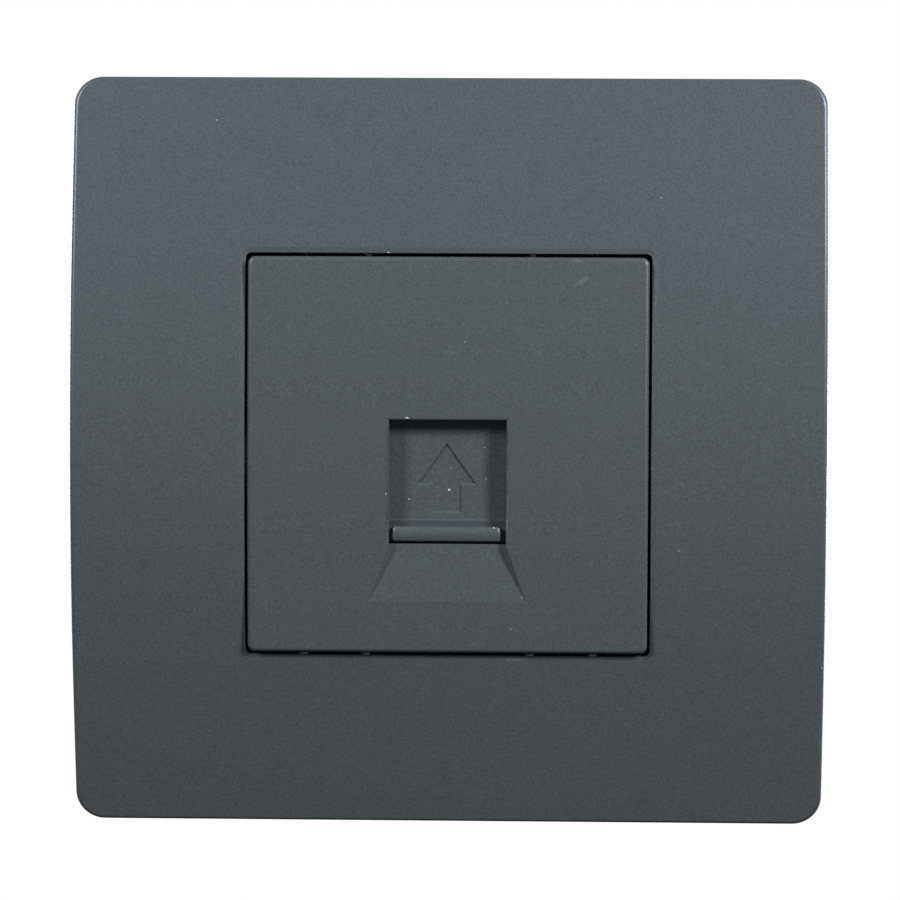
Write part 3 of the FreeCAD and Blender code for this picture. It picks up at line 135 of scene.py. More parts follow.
# %% [markdown]
# A finish looks real when several things follow one pattern: where the grain is paler, it
# is also a little duller. So there are short functions that turn a pattern into two close
# tones or into a range of values, and that mix colours and shaders. The nodes could be
# wired by hand each time, but this way only the sizes and colours are left to read.

# %% Helpers for patterns and mixtures
def work_out(tree, operation, *values):
    """The result of one operation on one or two values, such as their product."""
    return add(tree, "ShaderNodeMath", dict(enumerate(values)), operation=operation).outputs[0]


def work_out_vector(tree, operation, *vectors):
    """The results of one operation on one or two vectors, such as their difference or a length."""
    return add(tree, "ShaderNodeVectorMath", dict(enumerate(vectors)), operation=operation).outputs


def between(tree, pattern, low, high):
    """A value that follows a pattern from low to high."""
    inputs = {"Value": pattern, "To Min": low, "To Max": high}
    return add(tree, "ShaderNodeMapRange", inputs).outputs["Result"]


def two_tones(tree, pattern, first, second, start=0.3, end=0.7):
    """From one hex colour to another, while a pattern rises from start to end."""
    node = add(tree, "ShaderNodeValToRGB", {"Fac": pattern})
    for element, position, colour in zip(node.color_ramp.elements, (start, end), (first, second)):
        element.position = position
        element.color = linear(colour)
    return node.outputs["Color"]


def mix_colours(tree, share, first, second):
    """The first colour at a share of 0, and the second at 1."""
    inputs = {"Factor": share, "A": first, "B": second}
    return add(tree, "ShaderNodeMix", inputs, data_type="RGBA").outputs["Result"]


def mix_shaders(tree, share, first, second):
    """The first shader at a share of 0, and the second at 1."""
    inputs = {"Fac": share, 1: first.outputs[0], 2: second.outputs[0]}
    return add(tree, "ShaderNodeMixShader", inputs)


print("helpers for patterns and mixtures are ready")

# %% [markdown]
# Paint, plastic and metal all start as an empty material that reads the piece's own
# coordinates. Those stay put on the piece when the shutter moves, which the coordinates of
# the world or of the camera wouldn't. The patterns are noises and bumps sized in
# millimetres, as they could be measured on the real thing.

# %% Helpers for materials
def new_material(name):
    """An empty material with its tree, its output and an object-space coordinate."""
    material = bpy.data.materials.new(name)
    material.use_nodes = True
    tree = material.node_tree
    tree.nodes.clear()
    output = add(tree, "ShaderNodeOutputMaterial")
    place = add(tree, "ShaderNodeTexCoord").outputs["Object"]
    return material, tree, output, place


def grain(tree, place, size_mm, detail=2.0):
    """Noise whose blobs are about the given size across."""
    inputs = {"Vector": place, "Scale": 1 / (size_mm * MM), "Detail": detail}
    return add(tree, "ShaderNodeTexNoise", inputs).outputs["Fac"]


def bump(tree, height, depth_mm, strength):
    """Turns a height pattern into a surface normal."""
    inputs = {"Height": height, "Distance": depth_mm * MM, "Strength": strength}
    return add(tree, "ShaderNodeBump", inputs).outputs["Normal"]


def surface(tree, output, inputs):
    """Gives a material its surface: one principled shader with these inputs."""
    shader = add(tree, "ShaderNodeBsdfPrincipled", inputs)
    tree.links.new(shader.outputs[0], output.inputs["Surface"])


print("helpers for materials are ready")

# %% [markdown]
# The photograph has nothing but white round the socket. White walls lit until they clip
# would also flood the dark paint with light, so the white is shown only to rays that come
# from the camera or through glass. Mirror-like surfaces find a grey studio, darker on the
# photographer's side than behind the socket, and all other rays find a very dim one.

# %% World
STUDIO_FRONT = "#3a3b3c"
STUDIO_BACK = "#a6a6a6"
STUDIO_DIM = "#f2f2ef"
STUDIO_WHITE = "#ffffff"
AMBIENT = 0.10
FRONT_END = -0.4
BACK_END = 0.5

world = bpy.data.worlds.new("studio")
world.use_nodes = True
bpy.context.scene.world = world
tree = world.node_tree
tree.nodes.clear()
paths = add(tree, "ShaderNodeLightPath").outputs
direction = add(tree, "ShaderNodeTexCoord").outputs["Generated"]
depth = add(tree, "ShaderNodeSeparateXYZ", {"Vector": direction}).outputs["Y"]
limits = {"Value": depth, "From Min": FRONT_END, "From Max": BACK_END}
backward = add(tree, "ShaderNodeMapRange", limits).outputs["Result"]
studio = two_tones(tree, backward, STUDIO_FRONT, STUDIO_BACK, start=0.0, end=1.0)
soft = add(tree, "ShaderNodeBackground", {"Color": linear(STUDIO_DIM), "Strength": AMBIENT})
reflected = add(tree, "ShaderNodeBackground", {"Color": studio, "Strength": 1.0})
white = add(tree, "ShaderNodeBackground", {"Color": linear(STUDIO_WHITE), "Strength": 1.0})
seen = work_out(tree, "MAXIMUM", paths["Is Camera Ray"], paths["Is Transmission Ray"])
unseen = mix_shaders(tree, paths["Is Glossy Ray"], soft, reflected)
all_rays = mix_shaders(tree, seen, unseen, white)
add(tree, "ShaderNodeOutputWorld", {"Surface": all_rays.outputs[0]})
print("world ambient", AMBIENT)

# %% [markdown]
# A pale disc below the socket stands for the studio floor. Its rim fades out, so that it
# runs into the white round it from any side, and it lies low enough that the front view
# doesn't meet it. A square plane would show its edges as soon as the camera moves. Its
# underside is clear, so that a view from below looks through it at the socket. The paper
# is pale to the camera only: to the light it is dark, or it would brighten the cover's
# lower edge from beneath.

# %% Floor
FLOOR_FORWARD_MM = 30.0
FLOOR_DROP_MM = 38.0
FLOOR_RADIUS_MM = 190.0
FLOOR_SOLID_SHARE = 0.45
FLOOR_CLEAR_SHARE = 0.98
FLOOR_CORNERS = 96
PAPER = "#f2f2f0"
PAPER_TO_LIGHT = "#424240"
PAPER_ROUGHNESS = 0.9

centre = Vector((0, -FLOOR_FORWARD_MM * MM, cover_low.z - FLOOR_DROP_MM * MM))
floor_mesh = bpy.data.meshes.new("studio_floor")
bm = bmesh.new()
bmesh.ops.create_circle(bm, cap_ends=True, segments=FLOOR_CORNERS, radius=FLOOR_RADIUS_MM * MM)
bmesh.ops.translate(bm, verts=bm.verts, vec=centre)
bm.to_mesh(floor_mesh)
bm.free()
floor = bpy.data.objects.new("studio_floor", floor_mesh)
bpy.context.scene.collection.objects.link(floor)

material, tree, output, place = new_material("matt_studio_paper")
limits = {
    "Value": work_out_vector(tree, "DISTANCE", place, centre)["Value"],
    "From Min": FLOOR_RADIUS_MM * FLOOR_SOLID_SHARE * MM,
    "From Max": FLOOR_RADIUS_MM * FLOOR_CLEAR_SHARE * MM}
fade = add(tree, "ShaderNodeMapRange", limits, interpolation_type="SMOOTHSTEP").outputs["Result"]
below = add(tree, "ShaderNodeNewGeometry").outputs["Backfacing"]
gone = work_out(tree, "MAXIMUM", fade, below)
to_camera = add(tree, "ShaderNodeLightPath").outputs["Is Camera Ray"]
tone = mix_colours(tree, to_camera, linear(PAPER_TO_LIGHT), linear(PAPER))
paper = add(tree, "ShaderNodeBsdfPrincipled", {"Base Color": tone, "Roughness": PAPER_ROUGHNESS})
faded = mix_shaders(tree, gone, paper, add(tree, "ShaderNodeBsdfTransparent"))
tree.links.new(faded.outputs[0], output.inputs["Surface"])
floor.data.materials.append(material)
print("floor at", round(centre.z, 4))

# %% [markdown]
# The shadows inside the port tell where the light stood. They reach in from the top, the
# left and the right, and the right-hand side of the cover is a little brighter than the
# left. So two soft boxes hung above the camera, one at each side, the right one nearer.
# Each is placed by the slope of its light, which is how far it stands aside and above for
# each metre out from the wall: those slopes are what the shadows in the port measure.
# Its power grows with the square of its distance, so moving it leaves the cover as bright.
#
# Nothing of that reaches the back, so two more stand behind the socket, for the views from
# there. They are level with it, so that none of their light falls through the narrow
# slits beside the snap tongues onto the walls that the front view looks at.

# %% Lamps
# Each lamp: name, side (-1 in front, 1 behind), slope aside, slope above, share of the light,
# distance, width and height in metres
LAMPS = [
    ("softbox_left", -1, -1.15, 0.89, 0.312, 0.98, 0.20, 0.32),
    ("softbox_right", -1, 1.25, 0.88, 0.478, 0.74, 0.14, 0.23),
    ("back_softbox", 1, 0.90, 0.02, 0.500, 0.80, 0.30, 0.20),
    ("back_fill", 1, -0.70, 0.02, 0.300, 0.80, 0.30, 0.20),
]

for name, side, aside, above, share, distance, width, height in LAMPS:
    data = bpy.data.lights.new(name, "AREA")
    data.shape = "RECTANGLE"
    data.size = width
    data.size_y = height
    towards = Vector((aside, side, above)).normalized()
    slant = abs(towards.y)
    data.energy = share * (math.pi * distance) ** 2 / slant
    lamp = bpy.data.objects.new(name, data)
    lamp.location = apex + towards * distance
    lamp.rotation_euler = (-towards).to_track_quat("-Z", "Y").to_euler()
    bpy.context.scene.collection.objects.link(lamp)
    print(name, round(data.energy, 2), "W")

# %% [markdown]
# Some things on the front are known only by where they show in the picture: three faint
# pale marks in the paint, one of them partly a painted highlight, and a few specks of dust,
# one of them a painted glint. Their places in space are found as a surveyor would, by
# sending a line from the camera through that point of the picture and asking where it
# meets the socket. A BVH tree answers that quickly for a whole mesh.

# %% From a point of the picture to a point on the socket
eye_place = camera.matrix_world.translation
targets = {}
for name in ("cover_plate", "insert_face", "dust_shutter"):
    mesh = frame["nodes"][name].data
    corners = [vertex.co for vertex in mesh.vertices]
    targets[name] = BVHTree.FromPolygons(corners, [polygon.vertices for polygon in mesh.polygons])


def seen_at(across, down):
    """Where the line through a point of the picture meets the front, the normal there, and the piece."""
    line = ahead * FOCAL_PIXELS + right * (across - CENTRE) + up * (CENTRE - down)
    found = [(*faces.ray_cast(eye_place, line.normalized()), name) for name, faces in targets.items()]
    hits = [hit for hit in found if hit[0] is not None]
    spot, normal, _, _, name = min(hits, key=lambda hit: hit[3])
    return spot, normal, name


print("the middle of the picture shows the", seen_at(CENTRE, CENTRE)[2])

# %% [markdown]
# Three faint pale marks are the only wear: two scuffs near the insert's upper right corner,
# where the worn paint is slightly paler, and one at the window's lower edge, which is partly
# worn paint and partly a painted highlight along that edge. They could be painted on as a
# picture, but each is simple enough for an ellipse: the distance from its middle, counted
# in half lengths and half heights, fades the paler tone out, and a small noise breaks it
# into streaks.

# %% Scuffs and a painted highlight in the paint
# Each pale mark: place in the picture, half its length and height in millimetres, slant
# in radians, strength
SCUFFS_AND_EDGE_HIGHLIGHT = [
    ((582, 281), 1.2, 0.35, 0.45, 0.95),
    ((578, 261), 0.9, 0.16, 0.0, 0.9),
    # partly worn paint, partly a painted highlight along the window's lower edge
    ((514, 659.5), 1.6, 0.28, 0.0, 1.2),
]
# the paler tone of worn paint, and of the painted highlight at the window's lower edge
PAINT_SCUFFED_AND_HIGHLIT = "#7d8587"
SCUFF_AND_HIGHLIGHT_STREAK_MM = 0.35
SCUFF_AND_HIGHLIGHT_CORE = 0.2


def scuffed_and_highlit(tree, place, colour):
    """The paint's colour, with every worn mark and the painted highlight mixed in round its place."""
    for pixel, half_long, half_high, slant, strength in SCUFFS_AND_EDGE_HIGHLIGHT:
        spot, _, name = seen_at(*pixel)
        from_spot = work_out_vector(tree, "SUBTRACT", place, spot)[0]
        turned = add(tree, "ShaderNodeMapping", {"Vector": from_spot, "Rotation": (0, slant, 0)}).outputs[0]
        squeeze = (1 / (half_long * MM), 0, 1 / (half_high * MM))
        squeezed = work_out_vector(tree, "MULTIPLY", turned, squeeze)[0]
        reach = work_out_vector(tree, "LENGTH", squeezed)["Value"]
        limits = {
            "Value": reach, "From Min": SCUFF_AND_HIGHLIGHT_CORE, "From Max": 1.0,
            "To Min": strength, "To Max": 0.0}
        rubbed_and_lit = add(tree, "ShaderNodeMapRange", limits).outputs["Result"]
        streaked = work_out(tree, "MULTIPLY", rubbed_and_lit, grain(tree, place, SCUFF_AND_HIGHLIGHT_STREAK_MM))
        colour = mix_colours(tree, streaked, colour, linear(PAINT_SCUFFED_AND_HIGHLIT))
        print("scuff on", name, "at", [round(value / MM, 1) for value in spot], "mm")
    return colour


print("scuffs to mix in", len(SCUFFS_AND_EDGE_HIGHLIGHT))

# %% [markdown]
# Cover, insert and shutter are moulded polycarbonate with a sprayed soft-feel paint.
# To the eye it is matt slate grey with a satin sheen and a fine, even grain, like very
# fine sandpaper. A flat colour would look like plastic film, so the grain is in the
# colour, in the gloss and in the bump at once, each from the same small noise. The spray's
# own droplets are finer than a pixel, so the grain is drawn about twice as coarse. The
# index of refraction is set above a real lacquer's, which gives the sheen its strength.

# %% Sprayed paint of cover, insert and shutter
PAINT = "#4c5255"
PAINT_LIGHT = "#5b6265"
PAINT_SHEEN = "#d9e8ff"
PAINT_ROUGHNESS = (0.36, 0.46)
PAINT_IOR = 1.9
PAINT_GRAIN_MM = 0.21
PAINT_DEPTH_MM = 0.020
PAINT_BUMP = 0.42
PAINT_CLOUD_MM = 6.0

paint, tree, output, place = new_material("sprayed_soft_feel_paint")
fine = grain(tree, place, PAINT_GRAIN_MM, detail=1.0)
blend = work_out(tree, "MULTIPLY", fine, grain(tree, place, PAINT_CLOUD_MM))
surface(tree, output, {
    # the base colour carries the worn marks and a painted highlight at the window's lower edge
    "Base Color": scuffed_and_highlit(tree, place, two_tones(tree, fine, PAINT, PAINT_LIGHT)),
    "Roughness": between(tree, blend, *PAINT_ROUGHNESS),
    "IOR": PAINT_IOR,
    "Specular Tint": linear(PAINT_SHEEN),
    "Normal": bump(tree, fine, PAINT_DEPTH_MM, PAINT_BUMP)})
finishes = {"painted_cover": paint}
print("paint grain", PAINT_GRAIN_MM, "mm")

# %% [markdown]
# The hidden plastics differ in what they must do. The frame is plain grey polycarbonate
# with the dull, pitted skin of a spark-eroded mould. The guide is acetal, white, waxy and
# slippery. The jack is black polyester filled with glass, a little glossier. The
# punch-down blocks are milky polycarbonate. One function makes them all, because only
# colour, gloss and grain change.

# %% Moulded plastics
# For each slot its plastic: name, two tones, roughness, size and depth of its pits in
# millimetres, index of refraction
PLASTICS = {
    "frame_plastic": ("spark_textured_grey_polycarbonate", "#a0a2a2", "#9d9fa0", 0.55, 0.30, 0.03, 1.58),
    "guide_plastic": ("moulded_white_acetal", "#dddcd6", "#d5d4cd", 0.38, 0.40, 0.006, 1.48),
    "jack_plastic": ("glass_filled_black_polyester", "#1b1b1d", "#242427", 0.42, 0.30, 0.010, 1.57),
    "block_plastic": ("moulded_milky_polycarbonate", "#e2e0d8", "#dad8cf", 0.34, 0.35, 0.006, 1.58),
}
CLOUD_TO_PITS = 20
PLASTIC_GLOSS_SWING = 0.06
PIT_BUMP = 0.5


def moulded(name, colour, shade, roughness, grain_mm, depth_mm, ior):
    """A moulded plastic: two close tones in soft clouds, and a fine pitted skin."""
    material, tree, output, place = new_material(name)
    cloud = grain(tree, place, grain_mm * CLOUD_TO_PITS)
    pits = grain(tree, place, grain_mm, detail=3.0)
    surface(tree, output, {
        "Base Color": two_tones(tree, cloud, colour, shade, start=0.35, end=0.65),
        "Roughness": between(tree, pits, roughness - PLASTIC_GLOSS_SWING, roughness + PLASTIC_GLOSS_SWING),
        "IOR": ior,
        "Normal": bump(tree, pits, depth_mm, PIT_BUMP)})
    return material


for slot, values in PLASTICS.items():
    finishes[slot] = moulded(*values)
print("moulded plastics", len(PLASTICS))

# %% [markdown]
# The metals are thin strip and wire. Gold over nickel gives the contacts their warm
# shine, the blades are bright tin, the springs drawn steel, and the screws zinc with a
# faint blue passivation. Strip and wire are drawn along their length, which leaves fine
# streaks, so their roughness varies along one stretched noise.

# %% Plated and drawn metals
# For each slot its metal: name, two tones, roughness, size of its streaks in millimetres,
# and how closely they lie along X, Y and Z
METALS = {
    "gilt_bronze": ("gold_plated_spring_bronze", "#e2b65c", "#d3a347", 0.26, 0.2, (1.0, 0.15, 0.6)),
    "tinned_bronze": ("bright_tinned_bronze", "#cfcdc6", "#bcbab2", 0.34, 0.25, (0.4, 1.0, 1.0)),
    "spring_steel": ("drawn_spring_steel", "#b4b7ba", "#9a9da1", 0.30, 0.15, (1.0, 1.0, 1.0)),
    "zinc_steel": ("zinc_plated_steel", "#c3c8d0", "#aeb4bd", 0.36, 0.4, (1.0, 1.0, 1.0)),
}
METAL_GLOSS_SWING = 0.08
STREAK_DEPTH_MM = 0.004
STREAK_BUMP = 0.3


def plated(name, colour, shade, roughness, streak_mm, closeness):
    """A metal with streaks: noise stretched along the drawing direction."""
    material, tree, output, place = new_material(name)
    mapped = add(tree, "ShaderNodeMapping", {"Vector": place, "Scale": closeness}).outputs[0]
    streaks = grain(tree, mapped, streak_mm, detail=3.0)
    surface(tree, output, {
        "Base Color": two_tones(tree, streaks, colour, shade),
        "Metallic": 1.0,
        "Roughness": between(tree, streaks, roughness - METAL_GLOSS_SWING, roughness + METAL_GLOSS_SWING),
        "Normal": bump(tree, streaks, STREAK_DEPTH_MM, STREAK_BUMP)})
    return material


for slot, values in METALS.items():
    finishes[slot] = plated(*values)
print("metals", len(METALS))

# %% [markdown]
# The circuit board is woven glass in resin under green solder resist. The weave shows
# through as a faint square pattern about half a millimetre apart, and the sawn edges are
# bare, straw-coloured laminate. The edge is told from the face by the surface's own
# direction, so no second material is needed. A wave texture repeats every 2 pi / 20 of
# its coordinate, so its scale comes from that and the weave's real pitch.

# %% Circuit board
RESIST = "#1f6b45"
RESIST_DARK = "#195a39"
RESIST_ROUGHNESS = 0.28
RESIST_IOR = 1.55
LAMINATE = "#b9ae7c"
LAMINATE_DARK = "#a59a68"
LAMINATE_ROUGHNESS = 0.75
LAMINATE_GRAIN_MM = 0.3
WEAVE_MM = 0.5
WEAVE_UNEVEN = 0.4
WEAVE_DEPTH_MM = 0.01
WEAVE_BUMP = 0.4
TEXTURE_WAVE = 2 * math.pi / 20
PATCH_MM = 3.0
FACE_FLATNESS = 0.5

board_finish, tree, output, place = new_material("solder_resist_on_glass_laminate")
threads = []
for direction in ("X", "Z"):
    inputs = {"Vector": place, "Scale": TEXTURE_WAVE / (WEAVE_MM * MM), "Distortion": WEAVE_UNEVEN}
    threads.append(add(tree, "ShaderNodeTexWave", inputs, bands_direction=direction).outputs["Fac"])
weave = work_out(tree, "MULTIPLY", *threads)
tone = work_out(tree, "MULTIPLY", weave, grain(tree, place, PATCH_MM))
green = two_tones(tree, tone, RESIST_DARK, RESIST, start=0.1, end=0.6)
straw = two_tones(tree, grain(tree, place, LAMINATE_GRAIN_MM), LAMINATE, LAMINATE_DARK)
facing = add(tree, "ShaderNodeTexCoord").outputs["Normal"]
outward = add(tree, "ShaderNodeSeparateXYZ", {"Vector": facing}).outputs["Y"]
flatness = work_out(tree, "ABSOLUTE", outward)
faces = work_out(tree, "GREATER_THAN", flatness, FACE_FLATNESS)
surface(tree, output, {
    "Base Color": mix_colours(tree, faces, straw, green),
    "Roughness": between(tree, faces, LAMINATE_ROUGHNESS, RESIST_ROUGHNESS),
    "IOR": RESIST_IOR,
    "Normal": bump(tree, weave, WEAVE_DEPTH_MM, WEAVE_BUMP)})
finishes["circuit_board"] = board_finish
print("board weave", WEAVE_MM, "mm")

# %% [markdown]
# Each node of the working model keeps its shape and only takes its finish. The record
# already says which slot a node belongs to, so the finishes are handed out by slot.

# %% Finish of every working piece
for part in frame["record"]["subparts"]:
    piece = frame["nodes"][part["node"]]
    piece.data.materials.clear()
    piece.data.materials.append(finishes[part["material_slot"]])

# %% [markdown]
# The two return springs grow shorter as the shutter rises. A node of the working model
# can only move as a whole, so each spring's coil is carried over into a piece of its own,
# held by the socket, and the share of its length that is left at the shutter's full travel
# is worked out.

# %% Return springs as pieces of their own
slide = next(joint for joint in frame["joints"] if joint["name"] == "shutter_slide")
travel = slide["range_m"][1]
for side in ("left", "right"):
    held = f"shutter_spring_{side}"
    low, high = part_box(held)
    coil = bpy.data.objects.new(f"return_spring_{side}", frame["nodes"][held].data.copy())
    bpy.context.scene.collection.objects.link(coil)
    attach(coil, "socket")
    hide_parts(held)
    share = 1 - travel / (high.z - low.z)
    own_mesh(coil)
    print(coil.name, "shortens to", round(share, 3), "of its length")

# %% [markdown]
# Every piece made from here on ends the same way: its doubled points are merged, its faces
# are turned outwards, and it is handed to the body that it moves with and to its slot.

# %% From a worked mesh to a finished piece
MERGE_M = 1e-7


def finish_mesh(bm, name, material, body, smooth=True):
    """Merges doubled points, turns faces outward and hands the piece to its body and slot."""
    bmesh.ops.remove_doubles(bm, verts=bm.verts, dist=MERGE_M)
    bmesh.ops.recalc_face_normals(bm, faces=bm.faces)
    mesh = bpy.data.meshes.new(name)
    bm.to_mesh(mesh)
    bm.free()
    if smooth:
        mesh.shade_smooth()
    mesh.materials.append(material)
    piece = bpy.data.objects.new(name, mesh)
    bpy.context.scene.collection.objects.link(piece)
    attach(piece, body)


print("points closer than", MERGE_M, "m are merged")

# %% [markdown]
# The construction model stops where a soldering iron begins. Every tail and pin stands in
# a drilled hole, and on the real board each one has a flat ring of tinned copper and a
# small mound of solder that climbs the pin. Both are turned shapes, so one profile is
# spun round the pin: out over the ring, in along the hollow slope, and up to the pin.

# %% Shape of a solder joint
RING_THICK_MM = 0.06
MOUND_SHARE = 0.82
CLIMB_MM = 0.55
CLIMB_STEPS = 6
TIP_SHARE = 0.25
SPIN_STEPS = 24


def solder_joint(bm, spot, outward, ring_mm, pin_mm):
    """A ring and its mound of solder, spun round a pin that leaves the board at the spot."""
    foot_mm = ring_mm * MOUND_SHARE
    profile = [(ring_mm, 0.0), (ring_mm, RING_THICK_MM), (foot_mm, RING_THICK_MM)]
    for step in range(1, CLIMB_STEPS + 1):
        turned = step / CLIMB_STEPS * math.pi / 2
        radius = foot_mm + (pin_mm - foot_mm) * math.sin(turned)
        profile.append((radius, RING_THICK_MM + CLIMB_MM * (1 - math.cos(turned))))
    profile.append((0.0, profile[-1][1] + pin_mm * TIP_SHARE))
    corners = [Vector((radius * MM, outward * height * MM, 0)) for radius, height in profile]
    verts = [bm.verts.new(spot + corner) for corner in corners]
    edges = [bm.edges.new(pair) for pair in zip(verts, verts[1:])]
    bmesh.ops.spin(bm, geom=verts + edges, cent=spot, axis=(0, 1, 0), angle=2 * math.pi,
                   steps=SPIN_STEPS, use_merge=True)


print("a mound climbs", CLIMB_MM, "mm")

# %% [markdown]
# The contacts' tails come through to the back of the board, and the blades' pins to its
# front, so the mounds stand on both sides. Their places are read from the pieces
# themselves, and stay right if the board is laid out again. Molten tin sets with a faint
# ripple, which is a small noise in its tone, its gloss and its bump.

# %% Solder on the board
WAYS = 8
SOLDER = "#c9c9c6"
SOLDER_DULL = "#b7b8b6"
SOLDER_ROUGHNESS = (0.18, 0.34)
RIPPLE_MM = 0.5
RIPPLE_DEPTH_MM = 0.01
RIPPLE_BUMP = 0.4
CONTACT_RING_MM = 0.60
CONTACT_PIN_MM = 0.27
CONTACT_HALF_THICK_MM = 0.15
BLADE_RING_MM = 0.95
BLADE_PIN_MM = 0.38

solder, tree, output, place = new_material("reflowed_tin_solder")
ripple = grain(tree, place, RIPPLE_MM)
surface(tree, output, {
    "Base Color": two_tones(tree, ripple, SOLDER, SOLDER_DULL),
    "Metallic": 1.0,
    "Roughness": between(tree, ripple, *SOLDER_ROUGHNESS),
    "Normal": bump(tree, ripple, RIPPLE_DEPTH_MM, RIPPLE_BUMP)})

board_low, board_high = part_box("circuit_board")
bm = bmesh.new()
tails = {}
for number in range(1, WAYS + 1):
    low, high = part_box(f"contact_{number}")
    tails[number] = Vector(((low.x + high.x) / 2, board_high.y, high.z - CONTACT_HALF_THICK_MM * MM))
    solder_joint(bm, tails[number], 1, CONTACT_RING_MM, CONTACT_PIN_MM)
finish_mesh(bm, "contact_solder_joints", solder, "socket")

bm = bmesh.new()
pins = {}
for number in range(1, WAYS + 1):
    low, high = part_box(f"idc_blade_{number}")
    pins[number] = Vector(((low.x + high.x) / 2, board_low.y, (low.z + high.z) / 2))
    solder_joint(bm, pins[number], -1, BLADE_RING_MM, BLADE_PIN_MM)
finish_mesh(bm, "blade_solder_joints", solder, "socket")
print("solder joints", len(tails) + len(pins))

# %% [markdown]
# The copper tracks lead from the contacts' tails out to the punch-down blocks. They are
# etched copper under the green resist, which shows as paler, slightly raised bands with
# corners cut at 45 degrees. Each one starts as a single short edge across the track.
# That edge is extruded from corner to corner, and the ribbon then gets its thickness.

# %% Shape of a copper track
TRACK_WIDE_MM = 0.45
TRACK_THICK_MM = 0.05


def track(bm, corners):
    """A flat ribbon along the corners, with mitred turns."""
    spots = [Vector((x, 0, z)) for x, z in corners]
    ways = [(b - a).normalized() for a, b in zip(spots, spots[1:])]
    sides = [Vector((-way.z, 0, way.x)) for way in ways]
    front = []
    for index, spot in enumerate(spots):
        before, after = sides[max(index - 1, 0)], sides[min(index, len(sides) - 1)]
        reach = (before + after) / (1 + before.dot(after)) * TRACK_WIDE_MM / 2
        if not front:
            front = [bm.verts.new(), bm.verts.new()]
            bm.edges.new(front)
        else:
            edge = bm.edges.get(front)
            grown = bmesh.ops.extrude_edge_only(bm, edges=[edge])["geom"]
            start = front[0].co.copy()
            front = [item for item in grown if isinstance(item, bmesh.types.BMVert)]
            front.sort(key=lambda vertex: (vertex.co - start).length)
        front[0].co = (spot + reach) * MM
        front[1].co = (spot - reach) * MM


print("a track is", TRACK_WIDE_MM, "mm wide")

# %% [markdown]
# The corners lie between the rows as a board designer would route them, no two crossing.
# A track starts at its contact's tail and ends at the row of pins under its block, both of
# which are already known, so a route lists only the corners between them. The two rows of
# pins are as far to the left as to the right, so one of them gives both.

# %% Copper tracks
# Each contact's number, and the corners of its track in millimetres along X and Z
ROUTES = {
    2: ((-3.2, 4.45), (-4.6, 4.45), (-5.65, 3.4)),
    1: ((-4.3, 1.87), (-4.3, 0.3), (-5.4, -0.8)),
    3: ((-1.53, 0.6), (-3.1, -0.97), (-3.1, -2.7), (-5.4, -5.0)),
    4: ((-0.51, -0.2), (-1.9, -1.6), (-1.9, -5.7), (-5.4, -9.2)),
    8: ((4.2, 4.45), (4.6, 4.45), (5.65, 3.4)),
    7: ((4.0, 1.15), (4.0, 0.6), (5.4, -0.8)),
    6: ((1.53, 0.6), (3.0, -0.87), (3.0, -2.6), (5.4, -5.0)),
    5: ((0.51, -0.2), (1.9, -1.6), (1.9, -5.7), (5.4, -9.2)),
}
COPPER = "#2f8a5a"
COPPER_LIGHT = "#358f60"
COPPER_PATCH_MM = 1.5
COPPER_ROUGHNESS = 0.26
COPPER_DEPTH_MM = 0.01
COPPER_BUMP = 0.3

copper, tree, output, place = new_material("etched_copper_under_resist")
patches = grain(tree, place, COPPER_PATCH_MM)
surface(tree, output, {
    "Base Color": two_tones(tree, patches, COPPER, COPPER_LIGHT),
    "Roughness": COPPER_ROUGHNESS,
    "IOR": RESIST_IOR,
    "Normal": bump(tree, patches, COPPER_DEPTH_MM, COPPER_BUMP)})

bm = bmesh.new()
pin_row = pins[WAYS].x / MM
for number, turns in ROUTES.items():
    tail = tails[number] / MM
    end = (math.copysign(pin_row, turns[-1][0]), turns[-1][1])
    track(bm, ((tail.x, tail.z), *turns, end))
bmesh.ops.solidify(bm, geom=bm.faces[:], thickness=TRACK_THICK_MM * MM)
underside = min(vertex.co.y for vertex in bm.verts)
bmesh.ops.translate(bm, verts=bm.verts, vec=(0, board_high.y - underside, 0))
finish_mesh(bm, "copper_tracks", copper, "socket", smooth=False)
print("copper tracks", len(ROUTES))
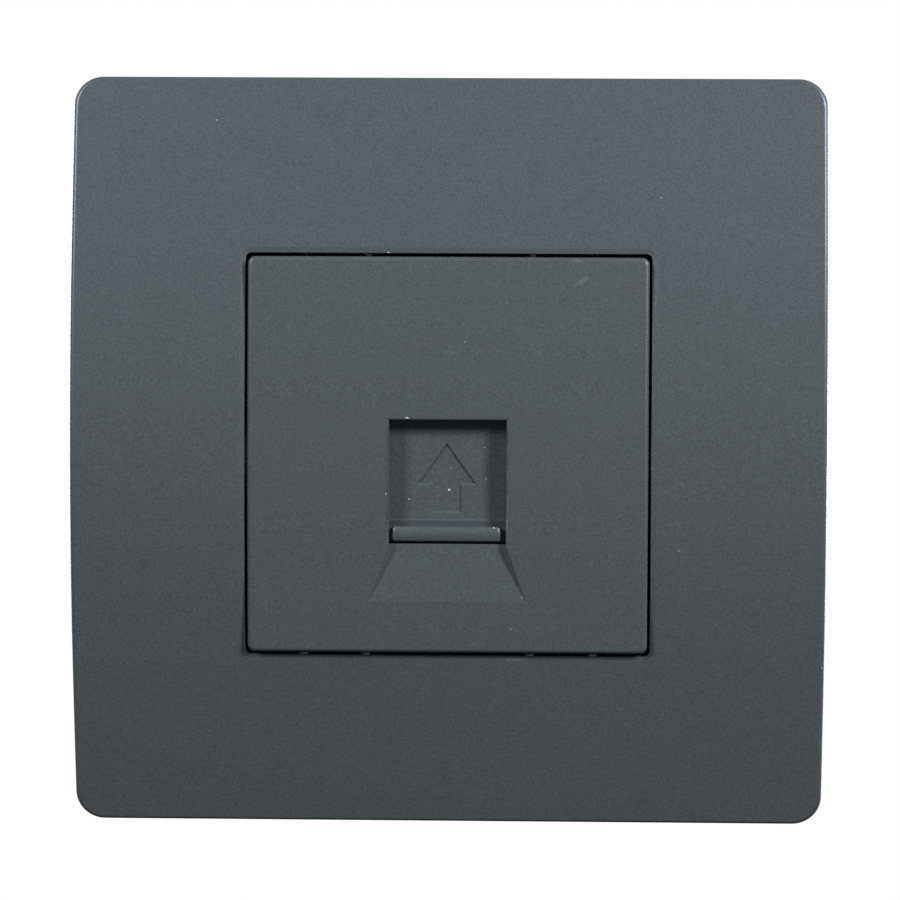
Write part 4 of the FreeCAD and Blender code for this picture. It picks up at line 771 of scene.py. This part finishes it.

# %% [markdown]
# A few specks of dust lie on the front, most of them caught in the port, and one pale flake
# on the upper right corner of the shutter's lip is a painted glint. Each is a crumpled flake
# about a fifth of a millimetre across, far smaller than anything that was modelled as a
# part, but white on dark grey, so the eye finds it at once. A coarse ball of one millimetre
# has its points moved by a seeded random amount, so every run gives the same, and is then
# squashed to the speck's own size.

# %% Dust, and a painted glint on the shutter's lip
# Each speck: place in the picture, width and height in millimetres, turn in degrees
DUST_AND_GLINT = [
    (407, 418, 0.44, 0.19, 0), (386, 494, 0.15, 0.23, 20), (388.5, 252.5, 0.28, 0.12, 0),
    (449, 490, 0.31, 0.26, 30), (409, 499, 0.12, 0.22, -35), (486, 479, 0.12, 0.20, 10),
    # the speck at 494, 528 is a painted glint where the lip's upper right corner catches the light
    (484.5, 447.5, 0.10, 0.13, 60), (451, 468, 0.10, 0.10, 0), (494, 528, 0.22, 0.12, -20),
    (511, 629, 0.13, 0.11, 0), (522, 598, 0.16, 0.09, 15), (465, 342, 0.12, 0.11, 0),
    (217, 120, 0.13, 0.11, 0), (661, 198, 0.12, 0.12, 0), (679, 551, 0.14, 0.12, 40),
    (822, 668, 0.13, 0.15, 0),
]
FLAKE_THICK = 0.35
CRUMPLE = 0.22
SEED = 11
# pale tones of the dust flakes and of the painted glint on the lip's corner
DUST_AND_GLINT_GREY = "#b9bcbc"
DUST_AND_GLINT_PALE = "#e4e5e3"
DUST_ROUGHNESS = 0.95
SPECKLE_MM = 0.05
SPECKLE_DEPTH_MM = 0.02
SPECKLE_BUMP = 0.5

dust_and_glint, tree, output, place = new_material("dry_house_dust_and_painted_glint")
speckle = grain(tree, place, SPECKLE_MM)
surface(tree, output, {
    "Base Color": two_tones(tree, speckle, DUST_AND_GLINT_GREY, DUST_AND_GLINT_PALE),
    "Roughness": DUST_ROUGHNESS,
    "Normal": bump(tree, speckle, SPECKLE_DEPTH_MM, SPECKLE_BUMP)})

chance = random.Random(SEED)
flakes = {"socket": bmesh.new(), "shutter": bmesh.new()}
for across, down, width, height, turned in DUST_AND_GLINT:
    spot, normal, name = seen_at(across, down)
    bm = flakes["shutter" if name == "dust_shutter" else "socket"]
    made = bmesh.ops.create_icosphere(bm, subdivisions=2, radius=MM / 2)["verts"]
    for vertex in made:
        vertex.co *= 1 + chance.uniform(-CRUMPLE, CRUMPLE)
    bmesh.ops.scale(bm, verts=made, vec=(width, height, min(width, height) * FLAKE_THICK))
    bmesh.ops.rotate(bm, verts=made, cent=(0, 0, 0), matrix=Matrix.Rotation(math.radians(turned), 3, "Z"))
    bmesh.ops.rotate(bm, verts=made, cent=(0, 0, 0), matrix=normal.to_track_quat("Z", "Y").to_matrix())
    bmesh.ops.translate(bm, verts=made, vec=spot)
finish_mesh(flakes["socket"], "dust_on_cover", dust_and_glint, "socket")
# the shutter's flakes include the painted glint on the lip's corner
finish_mesh(flakes["shutter"], "dust_and_painted_glint_on_shutter", dust_and_glint, "shutter")
print("specks of dust", len(DUST_AND_GLINT))
